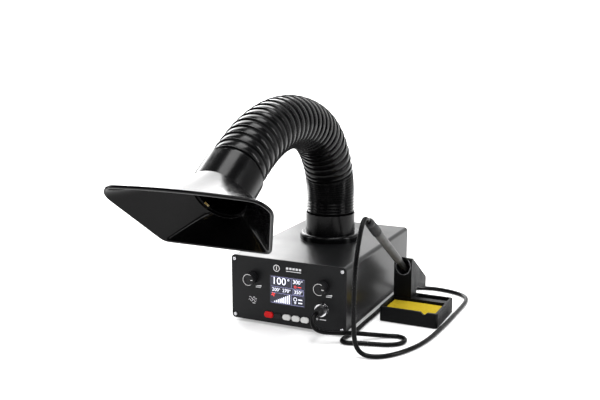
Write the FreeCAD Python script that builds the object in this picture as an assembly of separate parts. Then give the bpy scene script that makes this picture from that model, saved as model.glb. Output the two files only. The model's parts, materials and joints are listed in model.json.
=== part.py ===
import FreeCAD, Part
import math
import os

# A soldering station with a fume extractor in one case, and an iron stand beside it.
# Millimetres. +X right, -Y towards the user, +Z up.
# The origin is on the table under the middle of the case.

V = FreeCAD.Vector
X, Y, Z = V(1, 0, 0), V(0, 1, 0), V(0, 0, 1)
os.makedirs("parts", exist_ok=True)

# ---------------------------------------------------------------- driving sizes
CASE_W = 196.0          # width of the case
CASE_H = 104.0          # height of the case, without its feet
CASE_D = 292.8          # depth over both panels
CASE_CORNER = 6.0       # radius of the four long edges
CASE_WALL = 2.0
PANEL_T = 3.0           # thickness of the front and rear panels
FOOT_H = 5.0
FOOT_R = 9.0
FOOT_INSET = 16.0       # from the case's sides to a foot's centre
FOOT_INSET_Y = 21.0     # from the panels' faces to a foot's centre
SEAM_H = 11.5           # height of the base tray's side
SEAM_GAP = 0.4          # shadow gap between cover and base
LIP_H = 8.0             # upstand of the base inside the cover
LIP_T = 1.5

SCREW_R = 1.5           # M3
SCREW_HEAD_R = 2.8
SCREW_HEAD_H = 1.9
SCREW_LEN = 10.0
CROSS_L = 1.6           # half the width of the cross recess
CROSS_W = 0.7
CROSS_DEEP = 1.1
SCREW_INSET = 6.3       # from the panel's edges to a screw
BOSS_R = 4.5            # reaches into the case's walls

DISPLAY_W = 57.6        # visible area of the display
DISPLAY_H = 43.2
DISPLAY_Z = 55.5        # display centre above the case's underside
DISPLAY_BEZEL = 1.2     # window border round the visible area
WINDOW_T = 1.5

COLUMN_X = 60.0         # knobs and socket sit this far each side of the middle
KNOB_Z = 70.5           # above the case's underside
KNOB_R = 9.8
KNOB_L = 15.4
KNOB_GAP = 0.6          # knob to panel
SHAFT_R = 3.0
BUSH_R = 3.6
SOCKET_Z = 35.8         # above the case's underside
SOCKET_R = 8.0
SOCKET_RING_R = 10.0

BUTTON_PITCH = 15.5
BUTTON_Z = 13.3         # above the case's underside
BUTTON_ROW_X = -1.0      # middle of the row
BUTTON_W = 13.6
BUTTON_H = 8.9
POWER_BUTTON_W = 15.4
POWER_BUTTON_H = 9.7
BUTTON_PROUD = 2.6
BUTTON_TRAVEL = 1.0
FIT = 0.25              # sliding clearance round buttons and covers
RUN = 0.06              # radial running clearance of a shaft in its bush
SWIVEL = 0.30           # radial clearance of the duct's turning collars

DUCT_Y = 22.3           # duct axis, behind the middle of the case
FLANGE_R = 51.5
FLANGE_H = 11.0
SPIGOT_R = 38.0
SPIGOT_WALL = 2.5
COLLAR_R = 41.7
COLLAR_H = 33.0         # lower turning collar
HOSE_R = 40.5           # outside of the corrugated hose
HOSE_WALL = 2.0
HOSE_STRAIGHT = 23.0    # first straight stretch above the collar
HOSE_SEAT = 12.0        # hose pushed into the top of the collar
HOSE_ARCS = ((139.0, 69.5), (242.0, 47.5), (600.0, 5.0))   # radius, degrees
HOSE_TUCK = 20.0        # hose hidden inside the hood's collar

HOOD_COLLAR_R = 43.0
HOOD_COLLAR_L = 45.0
HOOD_WALL = 2.2
HOOD_NECK_R = 39.4      # where the hood's inside starts to open
HOOD_BORE_R = 36.4      # throat inside the neck, which the hose can't pass
THROAT_END = 41.0       # front of the throat, along the collar
CONTACT_W = 2.4         # brass contact of the lamp on the throat
CONTACT_T = 0.8
CONTACT_ARC = (212.0, 224.0)
LAMP_W = 72.0           # light strip in the hood
LENSES = 6
MOUTH_TOP_W = 251.0     # sharp corner to sharp corner
MOUTH_BOTTOM_W = 158.0
MOUTH_H = 117.5
MOUTH_TOP_R = 20.0
MOUTH_BOTTOM_R = 12.0
MOUTH_BOW = 7.0         # rise in the middle of the top edge
MOUTH_AHEAD = 101.6     # mouth centre, along the collar's axis from the hose's end
MOUTH_RISE = 7.7        # and above that axis
MOUTH_TILT = 13.0       # mouth turned down from square to the collar
LIP_OUT = 1.5           # rolled lip round the mouth
LIP_DEEP = 4.0

STAND_GAP = 19.5        # case side to tray
TRAY_W = 95.0
TRAY_D = 94.4
TRAY_FRONT = -53.4
TRAY_H = 24.5
TRAY_WALL = 4.5
TRAY_R = 5.0
PAD_H = 2.0
PAD_SHOW = 1.0          # part of a pad below the tray
POCKET_D = 55.0         # sponge pocket, front to back
SPONGE_T = 12.0
SPONGE_TOP = 21.0
SLOT_D = 18.0           # slot for spare tips behind the sponge
SLOT_DEEP = 15.0
HOLDER_W = 30.0
HOLDER_X = 3.0          # holder's left side from the tray's left side
HOLDER_Y = 8.0          # front face of the holder
MOUTH_Z = 77.5          # where the iron's axis crosses that face
IRON_ANGLE = 33.4       # iron above the horizontal
BORE_R = 13.0
LINER_T = 1.0
LINER_L = 40.0
BORE_END = -74.0        # bottom of the tapered bore

GRIP_R = 7.0
GRIP_FRONT = 30.0       # distances along the iron's axis from the holder's face
GRIP_REAR = 155.0
SLEEVE_REAR = 198.0
NOSE_END = -20.0
BARREL_END = -54.0
TIP_END = -70.0
CORD_R = 3.5

GRILLE_PITCH = 7.0      # exhaust slots in the rear panel
GRILLE_SLOT = 4.2
GRILLE_MARGIN = 17.0    # plain strip above and below the slots
GRILLE_X0 = -CASE_W / 2 + 16.0
GRILLE_X1 = 26.0
GRILLE_RIB = (-31.0, -26.0)
FILTER_T = 36.0
PLEATS = 10
INLET_X = CASE_W / 2 - 38.0
INLET_W = 28.0          # inlet's body through the panel
INLET_H = 20.0
SWITCH_W = 19.0         # rocker switch's frame through the panel
SWITCH_FRAME_H = 13.0
ROCKER_TILT = 8.0

BOARD_T = 1.6
BOARD_BEHIND = 13.0     # control board behind the front panel
SWITCH_H = 4.0
PLUNGER_H = 1.8
CAP_FLANGE_T = 1.5      # flange that keeps a button's cap in
POT_LENGTH = 9.0
BUSH_PROUD = 4.5        # bush in front of the panel
FLUTES = 24             # round a knob
FLUTE_R = 0.55
PLUG_LENGTH = 24.0      # plug and boot in front of the panel
PLUG_BODY = 15.0

PILLAR_H = 6.0
PILLAR_R = 3.0
BLOWER_DOWN = 7.0       # blower's cover below the case's top
BLOWER_T = 32.0
BLOWER_HALF = 62.0
BLOWER_COVER_T = 3.0
BLOWER_WALL = 8.0
ROTOR_R = 46.0
HUB_R = 18.0
MOTOR_SHAFT_R = 2.0
BLADES = 18

# Where the hose is cut into stiff and flexing pieces, in mm along it.
HOSE_CUTS = (("hose_foot", -HOSE_SEAT, 20.0), ("hose_bend_1", 20.0, 66.0), ("hose_rise", 66.0, 146.0),
             ("hose_bend_2", 146.0, 196.0), ("hose_crown", 196.0, 320.0), ("hose_bend_3", 320.0, 372.0))
LAMP_HALF = 5.0         # half the depth of the lamp's strip
LAMP_SPOT = 0.58        # its place on the upper wall, from the neck to the mouth

SHEATH_LENGTH = 84.0    # sheath behind the holder's face
PAD_R = 5.0
NOSE_R = (4.6, 5.8)     # iron's nose, front and rear
BARREL_R = 2.75

# ---------------------------------------------------------------- sizes that follow
BOTTOM = FOOT_H
TOP = FOOT_H + CASE_H
TUBE_D = CASE_D - 2 * PANEL_T
FRONT = -CASE_D / 2
REAR = CASE_D / 2
PANEL_BACK = FRONT + PANEL_T
SEAM_Z = BOTTOM + SEAM_H
FLOOR_IN = BOTTOM + CASE_WALL
KNOB_AXIS_Z = BOTTOM + KNOB_Z
SOCKET_AXIS_Z = BOTTOM + SOCKET_Z
BUTTON_AXIS_Z = BOTTOM + BUTTON_Z
DISPLAY_AXIS_Z = BOTTOM + DISPLAY_Z
COLLAR_Z0 = TOP + FLANGE_H + SWIVEL
COLLAR_Z1 = COLLAR_Z0 + COLLAR_H
DUCT = V(0, DUCT_Y, 0)
SCREW_X = CASE_W / 2 - SCREW_INSET
SCREW_ZS = (BOTTOM + SCREW_INSET, TOP - SCREW_INSET)
BOARD_Y = PANEL_BACK + BOARD_BEHIND
PLUG_FRONT = FRONT - PLUG_LENGTH
POWER_BOARD_Z = FLOOR_IN + PILLAR_H
BLOWER_TOP = TOP - BLOWER_DOWN
INLET_Z = BOTTOM + 26.0
ROCKER_Z = BOTTOM + 66.0
FLOOR_Z = CORD_R + 0.05     # cord's centre on the table
FEET = [(sx * (CASE_W / 2 - FOOT_INSET), sy * (CASE_D / 2 - FOOT_INSET_Y))
        for sx in (-1, 1) for sy in (-1, 1)]

TRAY_X0 = CASE_W / 2 + STAND_GAP
TRAY_X1 = TRAY_X0 + TRAY_W
TRAY_Y1 = TRAY_FRONT + TRAY_D
HOLDER_X0 = TRAY_X0 + HOLDER_X
HOLDER_X1 = HOLDER_X0 + HOLDER_W
HOLDER_MID = (HOLDER_X0 + HOLDER_X1) / 2
IRON_MOUTH = V(HOLDER_MID, HOLDER_Y, MOUTH_Z)
IRON_AXIS = V(0, -math.cos(math.radians(IRON_ANGLE)), math.sin(math.radians(IRON_ANGLE)))


# ---------------------------------------------------------------- helpers
def save(node, shape):
    """Write one node. A list of separate solids becomes one group."""
    if isinstance(shape, list):
        shape = Part.makeCompound(shape)
    if not shape.Solids or not all(s.isValid() for s in shape.Solids):
        raise RuntimeError("not a valid solid: " + node)
    shape.exportStep("parts/" + node + ".step")


def box(x0, x1, y0, y1, z0, z1):
    return Part.makeBox(x1 - x0, y1 - y0, z1 - z0, V(x0, y0, z0))


def cyl(radius, start, direction, length):
    return Part.makeCylinder(radius, length, start, direction)


def ring(r_out, r_in, start, direction, length):
    return cyl(r_out, start, direction, length).cut(cyl(r_in, start, direction, length))


def cone(r0, r1, start, direction, length):
    return Part.makeCone(r0, r1, length, start, direction)


def disc(radius, centre, direction):
    return Part.Face(Part.Wire(Part.Circle(centre, direction, radius).toShape()))


def rounded_outline(points, radii, bowed=(None, None)):
    """Closed wire through the corners, each rounded by its own radius. The side after corner number
    bowed[0] is an arc that rises by the vector bowed[1]."""
    edges = []
    count = len(points)
    starts, ends = [], []
    for i, corner in enumerate(points):
        a = (points[i - 1] - corner).normalize()
        b = (points[(i + 1) % count] - corner).normalize()
        half = a.getAngle(b) / 2
        reach = radii[i] / math.tan(half)
        middle = (a + b).normalize()
        starts.append(corner + a * reach)
        ends.append((corner + b * reach, corner + middle * (radii[i] / math.sin(half) - radii[i])))
    for i in range(count):
        end, knee = ends[i]
        edges.append(Part.Arc(starts[i], knee, end).toShape())
        after = starts[(i + 1) % count]
        if i == bowed[0]:
            edges.append(Part.Arc(end, (end + after) / 2 + bowed[1], after).toShape())
        else:
            edges.append(Part.LineSegment(end, after).toShape())
    return Part.Wire(edges)


def slab_y(width, height, x, z, y0, y1, radius):
    """Plate standing in the XZ plane with rounded corners, from y0 to y1."""
    w, h = width / 2, height / 2
    corners = [V(x - w, y0, z - h), V(x + w, y0, z - h), V(x + w, y0, z + h), V(x - w, y0, z + h)]
    return Part.Face(rounded_outline(corners, [radius] * 4)).extrude(V(0, y1 - y0, 0))


def slab_z(x0, x1, y0, y1, z0, z1, radius):
    """Plate lying in the XY plane with rounded corners, from z0 to z1."""
    corners = [V(x0, y0, z0), V(x1, y0, z0), V(x1, y1, z0), V(x0, y1, z0)]
    return Part.Face(rounded_outline(corners, [radius] * 4)).extrude(V(0, 0, z1 - z0))


def round_edges(shape, radius, wanted):
    """Fillet the edges that wanted(edge) picks."""
    return shape.makeFillet(radius, [e for e in shape.Edges if wanted(e)])


def at_y(y):
    """True for an edge that lies wholly on the plane at y."""
    return lambda e: abs(e.BoundBox.YMin - y) < 1e-4 and abs(e.BoundBox.YMax - y) < 1e-4


def at_z(z):
    return lambda e: abs(e.BoundBox.ZMin - z) < 1e-4 and abs(e.BoundBox.ZMax - z) < 1e-4


def pan_screw(head_base, direction, length):
    """Pan-head screw with a cross recess: the head stands against direction, the shank runs along it."""
    top = head_base - direction * SCREW_HEAD_H
    head = cyl(SCREW_HEAD_R, top, direction, SCREW_HEAD_H)
    head = head.makeFillet(0.9, [e for e in head.Edges if abs((e.CenterOfMass - top).dot(direction)) < 1e-4])
    screw = head.fuse(cyl(SCREW_R - 0.1, head_base, direction, length)).removeSplitter()
    up = Z if abs(direction.z) < 0.5 else Y
    side = direction.cross(up)
    for a, b in ((up, side), (side, up)):
        corner = top - a * CROSS_L - b * (CROSS_W / 2) - direction
        far = corner + a * (2 * CROSS_L)
        slot = Part.Face(Part.makePolygon([corner, far, far + b * CROSS_W, corner + b * CROSS_W, corner]))
        screw = screw.cut(slot.extrude(direction * (1 + CROSS_DEEP)))
    return screw


# ---------------------------------------------------------------- case
def case_halves():
    middle_z = BOTTOM + CASE_H / 2
    outer = slab_y(CASE_W, CASE_H, 0, middle_z, -TUBE_D / 2, TUBE_D / 2, CASE_CORNER)
    inner = slab_y(CASE_W - 2 * CASE_WALL, CASE_H - 2 * CASE_WALL, 0, middle_z,
                   -TUBE_D / 2, TUBE_D / 2, CASE_CORNER - CASE_WALL)
    tube = outer.cut(inner)
    for sx in (-1, 1):
        for z in SCREW_ZS:
            tube = tube.fuse(cyl(BOSS_R, V(sx * SCREW_X, -TUBE_D / 2, z), Y, TUBE_D))
    for sx in (-1, 1):
        for z in SCREW_ZS:
            for start, way in ((-TUBE_D / 2, Y), (TUBE_D / 2, -Y)):
                tube = tube.cut(cyl(SCREW_R, V(sx * SCREW_X, start, z), way, SCREW_LEN + 2))
    reach = CASE_W
    cover = tube.common(box(-reach, reach, -reach, reach, SEAM_Z + SEAM_GAP, TOP + 1))
    base = tube.common(box(-reach, reach, -reach, reach, 0, SEAM_Z))
    lip_x = CASE_W / 2 - CASE_WALL - FIT
    for side in (-1, 1):
        x0, x1 = sorted((side * lip_x, side * (lip_x - LIP_T)))
        foot0, foot1 = sorted((side * (lip_x - LIP_T), side * (lip_x + CASE_WALL)))
        base = base.fuse(box(x0, x1, -TUBE_D / 2 + 8, TUBE_D / 2 - 8, SEAM_Z - 4, SEAM_Z + LIP_H))
        base = base.fuse(box(foot0, foot1, -TUBE_D / 2 + 8, TUBE_D / 2 - 8, SEAM_Z - 4, SEAM_Z))
    cover = cover.cut(cyl(SPIGOT_R + FIT, V(0, DUCT_Y, TOP - 9), Z, 12))
    for x, y in flange_screw_places():
        cover = cover.cut(cyl(SCREW_R + 0.1, V(x, y, TOP - 9), Z, 12))
    for x, y in FEET:
        base = base.fuse(cyl(BOSS_R, V(x, y, FLOOR_IN), Z, 5))
        base = base.cut(cyl(SCREW_R, V(x, y, BOTTOM), Z, CASE_WALL + 5))
    for x, y in pillar_places():
        base = base.cut(cyl(SCREW_R, V(x, y, BOTTOM), Z, CASE_WALL))
    return cover.removeSplitter(), base.removeSplitter()


def flange_screw_places():
    r = (SPIGOT_R + FLANGE_R) / 2 + 0.6
    turns = [math.radians(a) for a in (45, 135, 225, 315)]
    return [(r * math.cos(a), DUCT_Y + r * math.sin(a)) for a in turns]


def pillar_places():
    return [(sx * 42.0, y) for sx in (-1, 1) for y in (-79.0, 69.0)]


def panel_blank(y0, y1):
    plate = slab_y(CASE_W, CASE_H, 0, BOTTOM + CASE_H / 2, y0, y1, CASE_CORNER)
    for sx in (-1, 1):
        for z in SCREW_ZS:
            plate = plate.cut(cyl(SCREW_R + 0.1, V(sx * SCREW_X, y0, z), Y, PANEL_T))
    return plate


def button_places():
    return [BUTTON_ROW_X + (n - 2) * BUTTON_PITCH for n in range(5)]


def button_size(n):
    return (POWER_BUTTON_W, POWER_BUTTON_H) if n == 0 else (BUTTON_W, BUTTON_H)


def front_panel():
    plate = panel_blank(FRONT, PANEL_BACK)
    window_w, window_h = DISPLAY_W + 2 * DISPLAY_BEZEL, DISPLAY_H + 2 * DISPLAY_BEZEL
    plate = plate.cut(slab_y(window_w, window_h, 0, DISPLAY_AXIS_Z, FRONT, PANEL_BACK, 1.0))
    for n, x in enumerate(button_places()):
        w, h = button_size(n)
        hole = slab_y(w + 2 * FIT, h + 2 * FIT, x, BUTTON_AXIS_Z, FRONT, PANEL_BACK, h / 2 + FIT - 0.4)
        plate = plate.cut(hole)
    for sx in (-1, 1):
        plate = plate.cut(cyl(BUSH_R + 0.1, V(sx * COLUMN_X, FRONT, KNOB_AXIS_Z), Y, PANEL_T))
    plate = plate.cut(cyl(SOCKET_R + 0.1, V(COLUMN_X, FRONT, SOCKET_AXIS_Z), Y, PANEL_T))
    return round_edges(plate, 0.5, lambda e: at_y(FRONT)(e) and e.BoundBox.XLength > CASE_W * 0.8)


def rear_panel():
    plate = panel_blank(REAR - PANEL_T, REAR)
    inside = REAR - PANEL_T
    middle = (GRILLE_X0 + GRILLE_X1) / 2
    rows = int((CASE_H - 2 * GRILLE_MARGIN) // GRILLE_PITCH)
    for row in range(rows):
        z = BOTTOM + GRILLE_MARGIN + GRILLE_PITCH * (row + 0.5)
        plate = plate.cut(slab_y(GRILLE_X1 - GRILLE_X0, GRILLE_SLOT, middle, z, inside, REAR, 2.0))
    plate = plate.fuse(box(*GRILLE_RIB, inside, REAR, BOTTOM + GRILLE_MARGIN, TOP - GRILLE_MARGIN))
    plate = plate.cut(slab_y(INLET_W + 0.4, INLET_H + 0.4, INLET_X, INLET_Z, inside, REAR, 2.5))
    plate = plate.cut(slab_y(SWITCH_W + 0.4, SWITCH_FRAME_H + 0.4, INLET_X, ROCKER_Z, inside, REAR, 1.0))
    return plate.removeSplitter()


def panel_screws():
    screws = []
    for sx in (-1, 1):
        for z in SCREW_ZS:
            screws.append(pan_screw(V(sx * SCREW_X, FRONT, z), Y, SCREW_LEN))
            screws.append(pan_screw(V(sx * SCREW_X, REAR, z), -Y, SCREW_LEN))
    return screws


def feet():
    pads, screws = [], []
    recess = FOOT_H - 1.5
    for x, y in FEET:
        pad = round_edges(cyl(FOOT_R, V(x, y, 0), Z, FOOT_H), 1.0, at_z(0))
        pad = pad.cut(cyl(SCREW_HEAD_R + 0.4, V(x, y, 0), Z, recess))
        pads.append(pad.cut(cyl(SCREW_R + 0.1, V(x, y, recess), Z, 2)))
        screws.append(pan_screw(V(x, y, recess), Z, 7.0))
    return pads, screws


# ---------------------------------------------------------------- front controls
def control_board():
    half = CASE_W / 2 - 18.0
    board = box(-half, half, BOARD_Y, BOARD_Y + BOARD_T, BOTTOM + 8.0, TOP - 11.0)
    board = board.cut(cyl(SOCKET_RING_R + 2.0, V(COLUMN_X, BOARD_Y - 1, SOCKET_AXIS_Z), Y, 4))
    return board


def button_switches():
    switches = []
    for x in button_places():
        body = box(x - 3, x + 3, BOARD_Y - SWITCH_H, BOARD_Y, BUTTON_AXIS_Z - 3, BUTTON_AXIS_Z + 3)
        plunger = cyl(1.7, V(x, BOARD_Y - SWITCH_H - PLUNGER_H, BUTTON_AXIS_Z), Y, PLUNGER_H)
        switches.append(body.fuse(plunger))
    return switches


def button(n):
    """Domed oval cap, a flange behind the panel that keeps it in, and a stem to its switch."""
    x = button_places()[n]
    w, h = button_size(n)
    cap = slab_y(w, h, x, BUTTON_AXIS_Z, FRONT - BUTTON_PROUD, PANEL_BACK + 0.1, h / 2 - 0.4)
    cap = round_edges(cap, 1.3, at_y(FRONT - BUTTON_PROUD))
    flange_y = PANEL_BACK + 0.1
    flange_w = min(w + 2.0, BUTTON_PITCH - 0.5)
    flange = slab_y(flange_w, h + 3.0, x, BUTTON_AXIS_Z, flange_y, flange_y + CAP_FLANGE_T, h / 2)
    stem_end = BOARD_Y - SWITCH_H - PLUNGER_H - BUTTON_TRAVEL - 0.1
    stem = cyl(2.0, V(x, PANEL_BACK + 1.0, BUTTON_AXIS_Z), Y, stem_end - PANEL_BACK - 1.0)
    return cap.fuse(flange).fuse(stem).removeSplitter()


def display():
    w, h = DISPLAY_W + 2 * DISPLAY_BEZEL - 0.3, DISPLAY_H + 2 * DISPLAY_BEZEL - 0.3
    window = slab_y(w, h, 0, DISPLAY_AXIS_Z, FRONT + 0.1, FRONT + 0.1 + WINDOW_T, 0.9)
    module = slab_y(w, h, 0, DISPLAY_AXIS_Z, FRONT + 0.1 + WINDOW_T, PANEL_BACK + 0.2, 0.9)
    frame = slab_y(w + 12.0, h + 5.0, 0, DISPLAY_AXIS_Z, PANEL_BACK + 0.2, PANEL_BACK + 4.0, 1.5)
    return window, module.fuse(frame).removeSplitter()


def dial_control(sx):
    """Potentiometer: body behind the panel, threaded bush through it, nut in front under the knob."""
    centre = V(sx * COLUMN_X, 0, KNOB_AXIS_Z)
    body = box(centre.x - 8, centre.x + 8, PANEL_BACK, PANEL_BACK + POT_LENGTH, centre.z - 9, centre.z + 8)
    bush = cyl(BUSH_R, V(centre.x, FRONT - BUSH_PROUD, centre.z), Y, PANEL_T + BUSH_PROUD)
    nut = cyl(5.2, V(centre.x, FRONT - 2.0, centre.z), Y, 2.0)
    bore = cyl(SHAFT_R + RUN, V(centre.x, FRONT - 5, centre.z), Y, PANEL_T + 11.0)
    return body.fuse(bush).fuse(nut).cut(bore).removeSplitter()


def knob(sx):
    """Knurled cap over the bush and nut, with a pointer groove in its face, and its own shaft."""
    x, z = sx * COLUMN_X, KNOB_AXIS_Z
    y1 = FRONT - KNOB_GAP
    y0 = y1 - KNOB_L
    cap = cone(KNOB_R - 0.5, KNOB_R, V(x, y0, z), Y, KNOB_L)
    cap = round_edges(cap, 0.8, at_y(y0))
    cap = cap.cut(cyl(6.2, V(x, y1 - 4.6, z), Y, 4.6))
    cap = cap.cut(cyl(SHAFT_R, V(x, y0 + 3.0, z), Y, KNOB_L))
    reach = KNOB_R + 0.1
    for k in range(FLUTES):
        a = 2 * math.pi * k / FLUTES
        flute = cyl(FLUTE_R, V(x + reach * math.cos(a), y0 + 3.0, z + reach * math.sin(a)), Y, KNOB_L - 4.5)
        cap = cap.cut(flute)
    shaft = cyl(SHAFT_R, V(x, y0 + 3.0, z), Y, KNOB_L + PANEL_T + 4.5 - 3.0 + KNOB_GAP)
    return cap, shaft


def socket_parts():
    x, z = COLUMN_X, SOCKET_AXIS_Z
    flange = round_edges(cyl(SOCKET_RING_R, V(x, FRONT - 3.0, z), Y, 3.0), 0.8, at_y(FRONT - 3.0))
    barrel = cyl(SOCKET_R, V(x, FRONT, z), Y, 16.0)
    bore = cyl(SOCKET_R - 1.6, V(x, FRONT - 3.0, z), Y, 9.0)
    socket = flange.fuse(barrel).cut(bore).removeSplitter()
    turns = [math.radians(60 * k) for k in range(7)]
    corners = [V(x + 11.0 * math.cos(a), PANEL_BACK, z + 11.0 * math.sin(a)) for a in turns]
    nut = Part.Face(Part.makePolygon(corners)).extrude(V(0, 2.6, 0))
    nut = nut.cut(cyl(SOCKET_R + 0.05, V(x, PANEL_BACK, z), Y, 2.6))
    return socket, nut


def plug_parts():
    x, z = COLUMN_X, SOCKET_AXIS_Z
    spigot = cyl(SOCKET_R - 1.7, V(x, FRONT - 3.0, z), Y, 8.0)
    body = cyl(SOCKET_R - 0.4, V(x, FRONT - PLUG_BODY, z), Y, PLUG_BODY - 3.0)
    boot = cone(CORD_R + 1.2, SOCKET_R - 1.4, V(x, PLUG_FRONT, z), Y, PLUG_LENGTH - PLUG_BODY)
    plug = body.fuse(spigot).fuse(boot).removeSplitter()
    collar = ring(SOCKET_RING_R - 0.2, SOCKET_R - 0.3, V(x, FRONT - 9.5, z), Y, 6.4)
    return plug, collar


# ---------------------------------------------------------------- inside the case
def power_supply():
    board = box(-48, 48, -86, 76, POWER_BOARD_Z, POWER_BOARD_Z + BOARD_T)
    top = POWER_BOARD_Z + BOARD_T
    core = slab_z(-44, 0, -80, -40, top, top + 36, 2.0)
    winding = slab_z(-40, -4, -84, -36, top + 8, top + 28, 6.0)
    caps = []
    for x, y, r, h in ((20, -66, 9, 32), (20, -44, 9, 32), (38, -72, 5, 22), (38, -56, 5, 22),
                       (-30, 40, 8, 25)):
        can = cyl(r, V(x, y, top), Z, h)
        caps.append(round_edges(can, 1.0, at_z(top + h)))
    return board, core.fuse(winding).removeSplitter(), caps


def board_pillars():
    return [cyl(PILLAR_R, V(x, y, FLOOR_IN), Z, PILLAR_H) for x, y in pillar_places()]


def blower():
    """Box housing open to the rear, its cover, the motor, and a rotor of straight blades on a hub."""
    z0, z1 = BLOWER_TOP - BLOWER_T, BLOWER_TOP - BLOWER_COVER_T
    half, wall = BLOWER_HALF, BLOWER_WALL
    y0, y1 = DUCT_Y - half, DUCT_Y + half
    housing = slab_z(-half, half, y0, y1, z0, z1, 8.0)
    housing = housing.cut(cyl(half - wall, V(0, DUCT_Y, z0 + 2.0), Z, BLOWER_T))
    housing = housing.cut(box(-half + wall, -4, DUCT_Y, y1 + 1, z0 + 2.0, z1 + 1))
    for sx in (-1, 1):
        for y in (y0 + 7.0, y1 - 7.0):
            housing = housing.fuse(cyl(5.0, V(sx * (half - 7.0), y, FLOOR_IN), Z, z0 - FLOOR_IN))
    cover = slab_z(-half, half, y0, y1, z1, BLOWER_TOP, 8.0)
    cover = cover.cut(cyl(SPIGOT_R - 1.5, V(0, DUCT_Y, z1 - 1), Z, 6))
    motor = cyl(15.0, V(0, DUCT_Y, z0 + 2.0), Z, 5.0)
    motor = motor.fuse(cyl(MOTOR_SHAFT_R, V(0, DUCT_Y, z0 + 7.0), Z, 14.0))
    hub = cyl(HUB_R, V(0, DUCT_Y, z0 + 8.0), Z, 14.0)
    rotor = hub.fuse(cyl(ROTOR_R, V(0, DUCT_Y, z0 + 8.0), Z, 1.5))
    for k in range(BLADES):
        blade = box(24.0, ROTOR_R - 0.5, -0.8, 0.8, z0 + 8.0, z1 - 4.0)
        blade.rotate(V(35, 0, 0), Z, 35)
        blade.rotate(V(0, 0, 0), Z, 360.0 * k / BLADES)
        blade.translate(DUCT)
        rotor = rotor.fuse(blade)
    rotor = rotor.fuse(ring(ROTOR_R, ROTOR_R - 5.0, V(0, DUCT_Y, z1 - 5.0), Z, 1.5))
    rotor = rotor.cut(cyl(MOTOR_SHAFT_R + RUN, V(0, DUCT_Y, z0 + 7.0), Z, 14.0 + 0.3))
    return housing.removeSplitter(), cover, motor, rotor.removeSplitter()


def exhaust_filter():
    """Pleated cartridge in a card frame, pressed against the grille."""
    y1 = REAR - PANEL_T - 0.2
    y0 = y1 - FILTER_T
    x0, x1, z0, z1 = GRILLE_X0 - 5, GRILLE_X1 + 5, BOTTOM + 12.0, TOP - 12.0
    block = box(x0, x1, y0, y1, z0, z1)
    pitch = (x1 - x0 - 8.0) / PLEATS
    for k in range(PLEATS):
        x = x0 + 4.0 + pitch * (k + 0.25)
        block = block.cut(box(x, x + pitch / 2, y0 - 1, y0 + 6.0, z0 + 4.0, z1 - 4.0))
    return block


def mains_inlet():
    """Three-pin inlet with a recess for the lead's connector."""
    y1 = REAR + 2.0
    body = slab_y(INLET_W, INLET_H, INLET_X, INLET_Z, REAR - 22.0, REAR, 2.4)
    rim = slab_y(48.0, 24.0, INLET_X, INLET_Z, REAR, y1, 3.0)
    inlet = body.fuse(rim).cut(slab_y(24.0, 16.4, INLET_X, INLET_Z, REAR - 16.0, y1, 2.0))
    for dx, dz in ((-7.0, -2.0), (0.0, 2.0), (7.0, -2.0)):
        inlet = inlet.fuse(box(INLET_X + dx - 1, INLET_X + dx + 1, REAR - 18.0, REAR - 2.0,
                               INLET_Z + dz - 1.5, INLET_Z + dz + 1.5))
    return inlet.removeSplitter()


def rocker_and_frame():
    """Rocker that tips about pins in its frame. It is drawn tipped to one side."""
    y1 = REAR + 1.5
    pivot = V(INLET_X, REAR - 4.0, ROCKER_Z)
    frame = slab_y(SWITCH_W, SWITCH_FRAME_H, INLET_X, ROCKER_Z, REAR - 14.0, REAR, 0.8)
    frame = frame.fuse(slab_y(23.0, 17.0, INLET_X, ROCKER_Z, REAR, y1, 1.5))
    frame = frame.cut(box(INLET_X - 7.5, INLET_X + 7.5, REAR - 12.0, y1 + 1, ROCKER_Z - 5.0, ROCKER_Z + 5.0))
    frame = frame.cut(cyl(1.0 + RUN, pivot - X * 8.5, X, 17.0))
    outline = [(-1.0, -3.6), (6.6, -3.7), (5.7, 0), (6.6, 3.7), (-1.0, 3.6), (-1.0, -3.6)]
    rocker = Part.Face(Part.makePolygon([V(0, y, z) for y, z in outline])).extrude(V(14.2, 0, 0))
    rocker.translate(pivot - X * 7.1)
    rocker = rocker.fuse(cyl(4.6, pivot - X * 7.1, X, 14.2)).fuse(cyl(1.0, pivot - X * 8.3, X, 16.6))
    rocker.rotate(pivot, X, -ROCKER_TILT)
    return frame.removeSplitter(), rocker.removeSplitter()


# ---------------------------------------------------------------- duct and hood
def duct_flange():
    """Round base screwed to the case, with the spigot that the duct turns on."""
    base = cyl(FLANGE_R, V(0, DUCT_Y, TOP), Z, FLANGE_H)
    base = round_edges(base, 4.5, at_z(TOP + FLANGE_H))
    spigot_l = FLANGE_H + COLLAR_H - HOSE_SEAT - 0.5
    base = base.fuse(cyl(SPIGOT_R, V(0, DUCT_Y, BLOWER_TOP), Z, BLOWER_DOWN + spigot_l))
    base = base.cut(cyl(SPIGOT_R - SPIGOT_WALL, V(0, DUCT_Y, BLOWER_TOP - 1), Z, CASE_H))
    for x, y in flange_screw_places():
        base = base.cut(cyl(SCREW_R, V(x, y, TOP), Z, 6.0))
    return base.removeSplitter()


def flange_screws():
    return [pan_screw(V(x, y, TOP - CASE_WALL), Z, 7.0) for x, y in flange_screw_places()]


def duct_gasket():
    return ring(SPIGOT_R + 3.4, SPIGOT_R + 0.4, V(0, DUCT_Y, BLOWER_TOP), Z, TOP - CASE_WALL - BLOWER_TOP)


def duct_collar():
    body = ring(COLLAR_R, SPIGOT_R + SWIVEL, V(0, DUCT_Y, COLLAR_Z0), Z, COLLAR_H)
    body = body.cut(cyl(HOSE_R + 0.05, V(0, DUCT_Y, COLLAR_Z1 - HOSE_SEAT), Z, HOSE_SEAT + 1))
    return round_edges(body, 0.5, lambda e: at_z(COLLAR_Z1)(e) and e.Length > 2 * math.pi * (COLLAR_R - 0.5))


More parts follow.
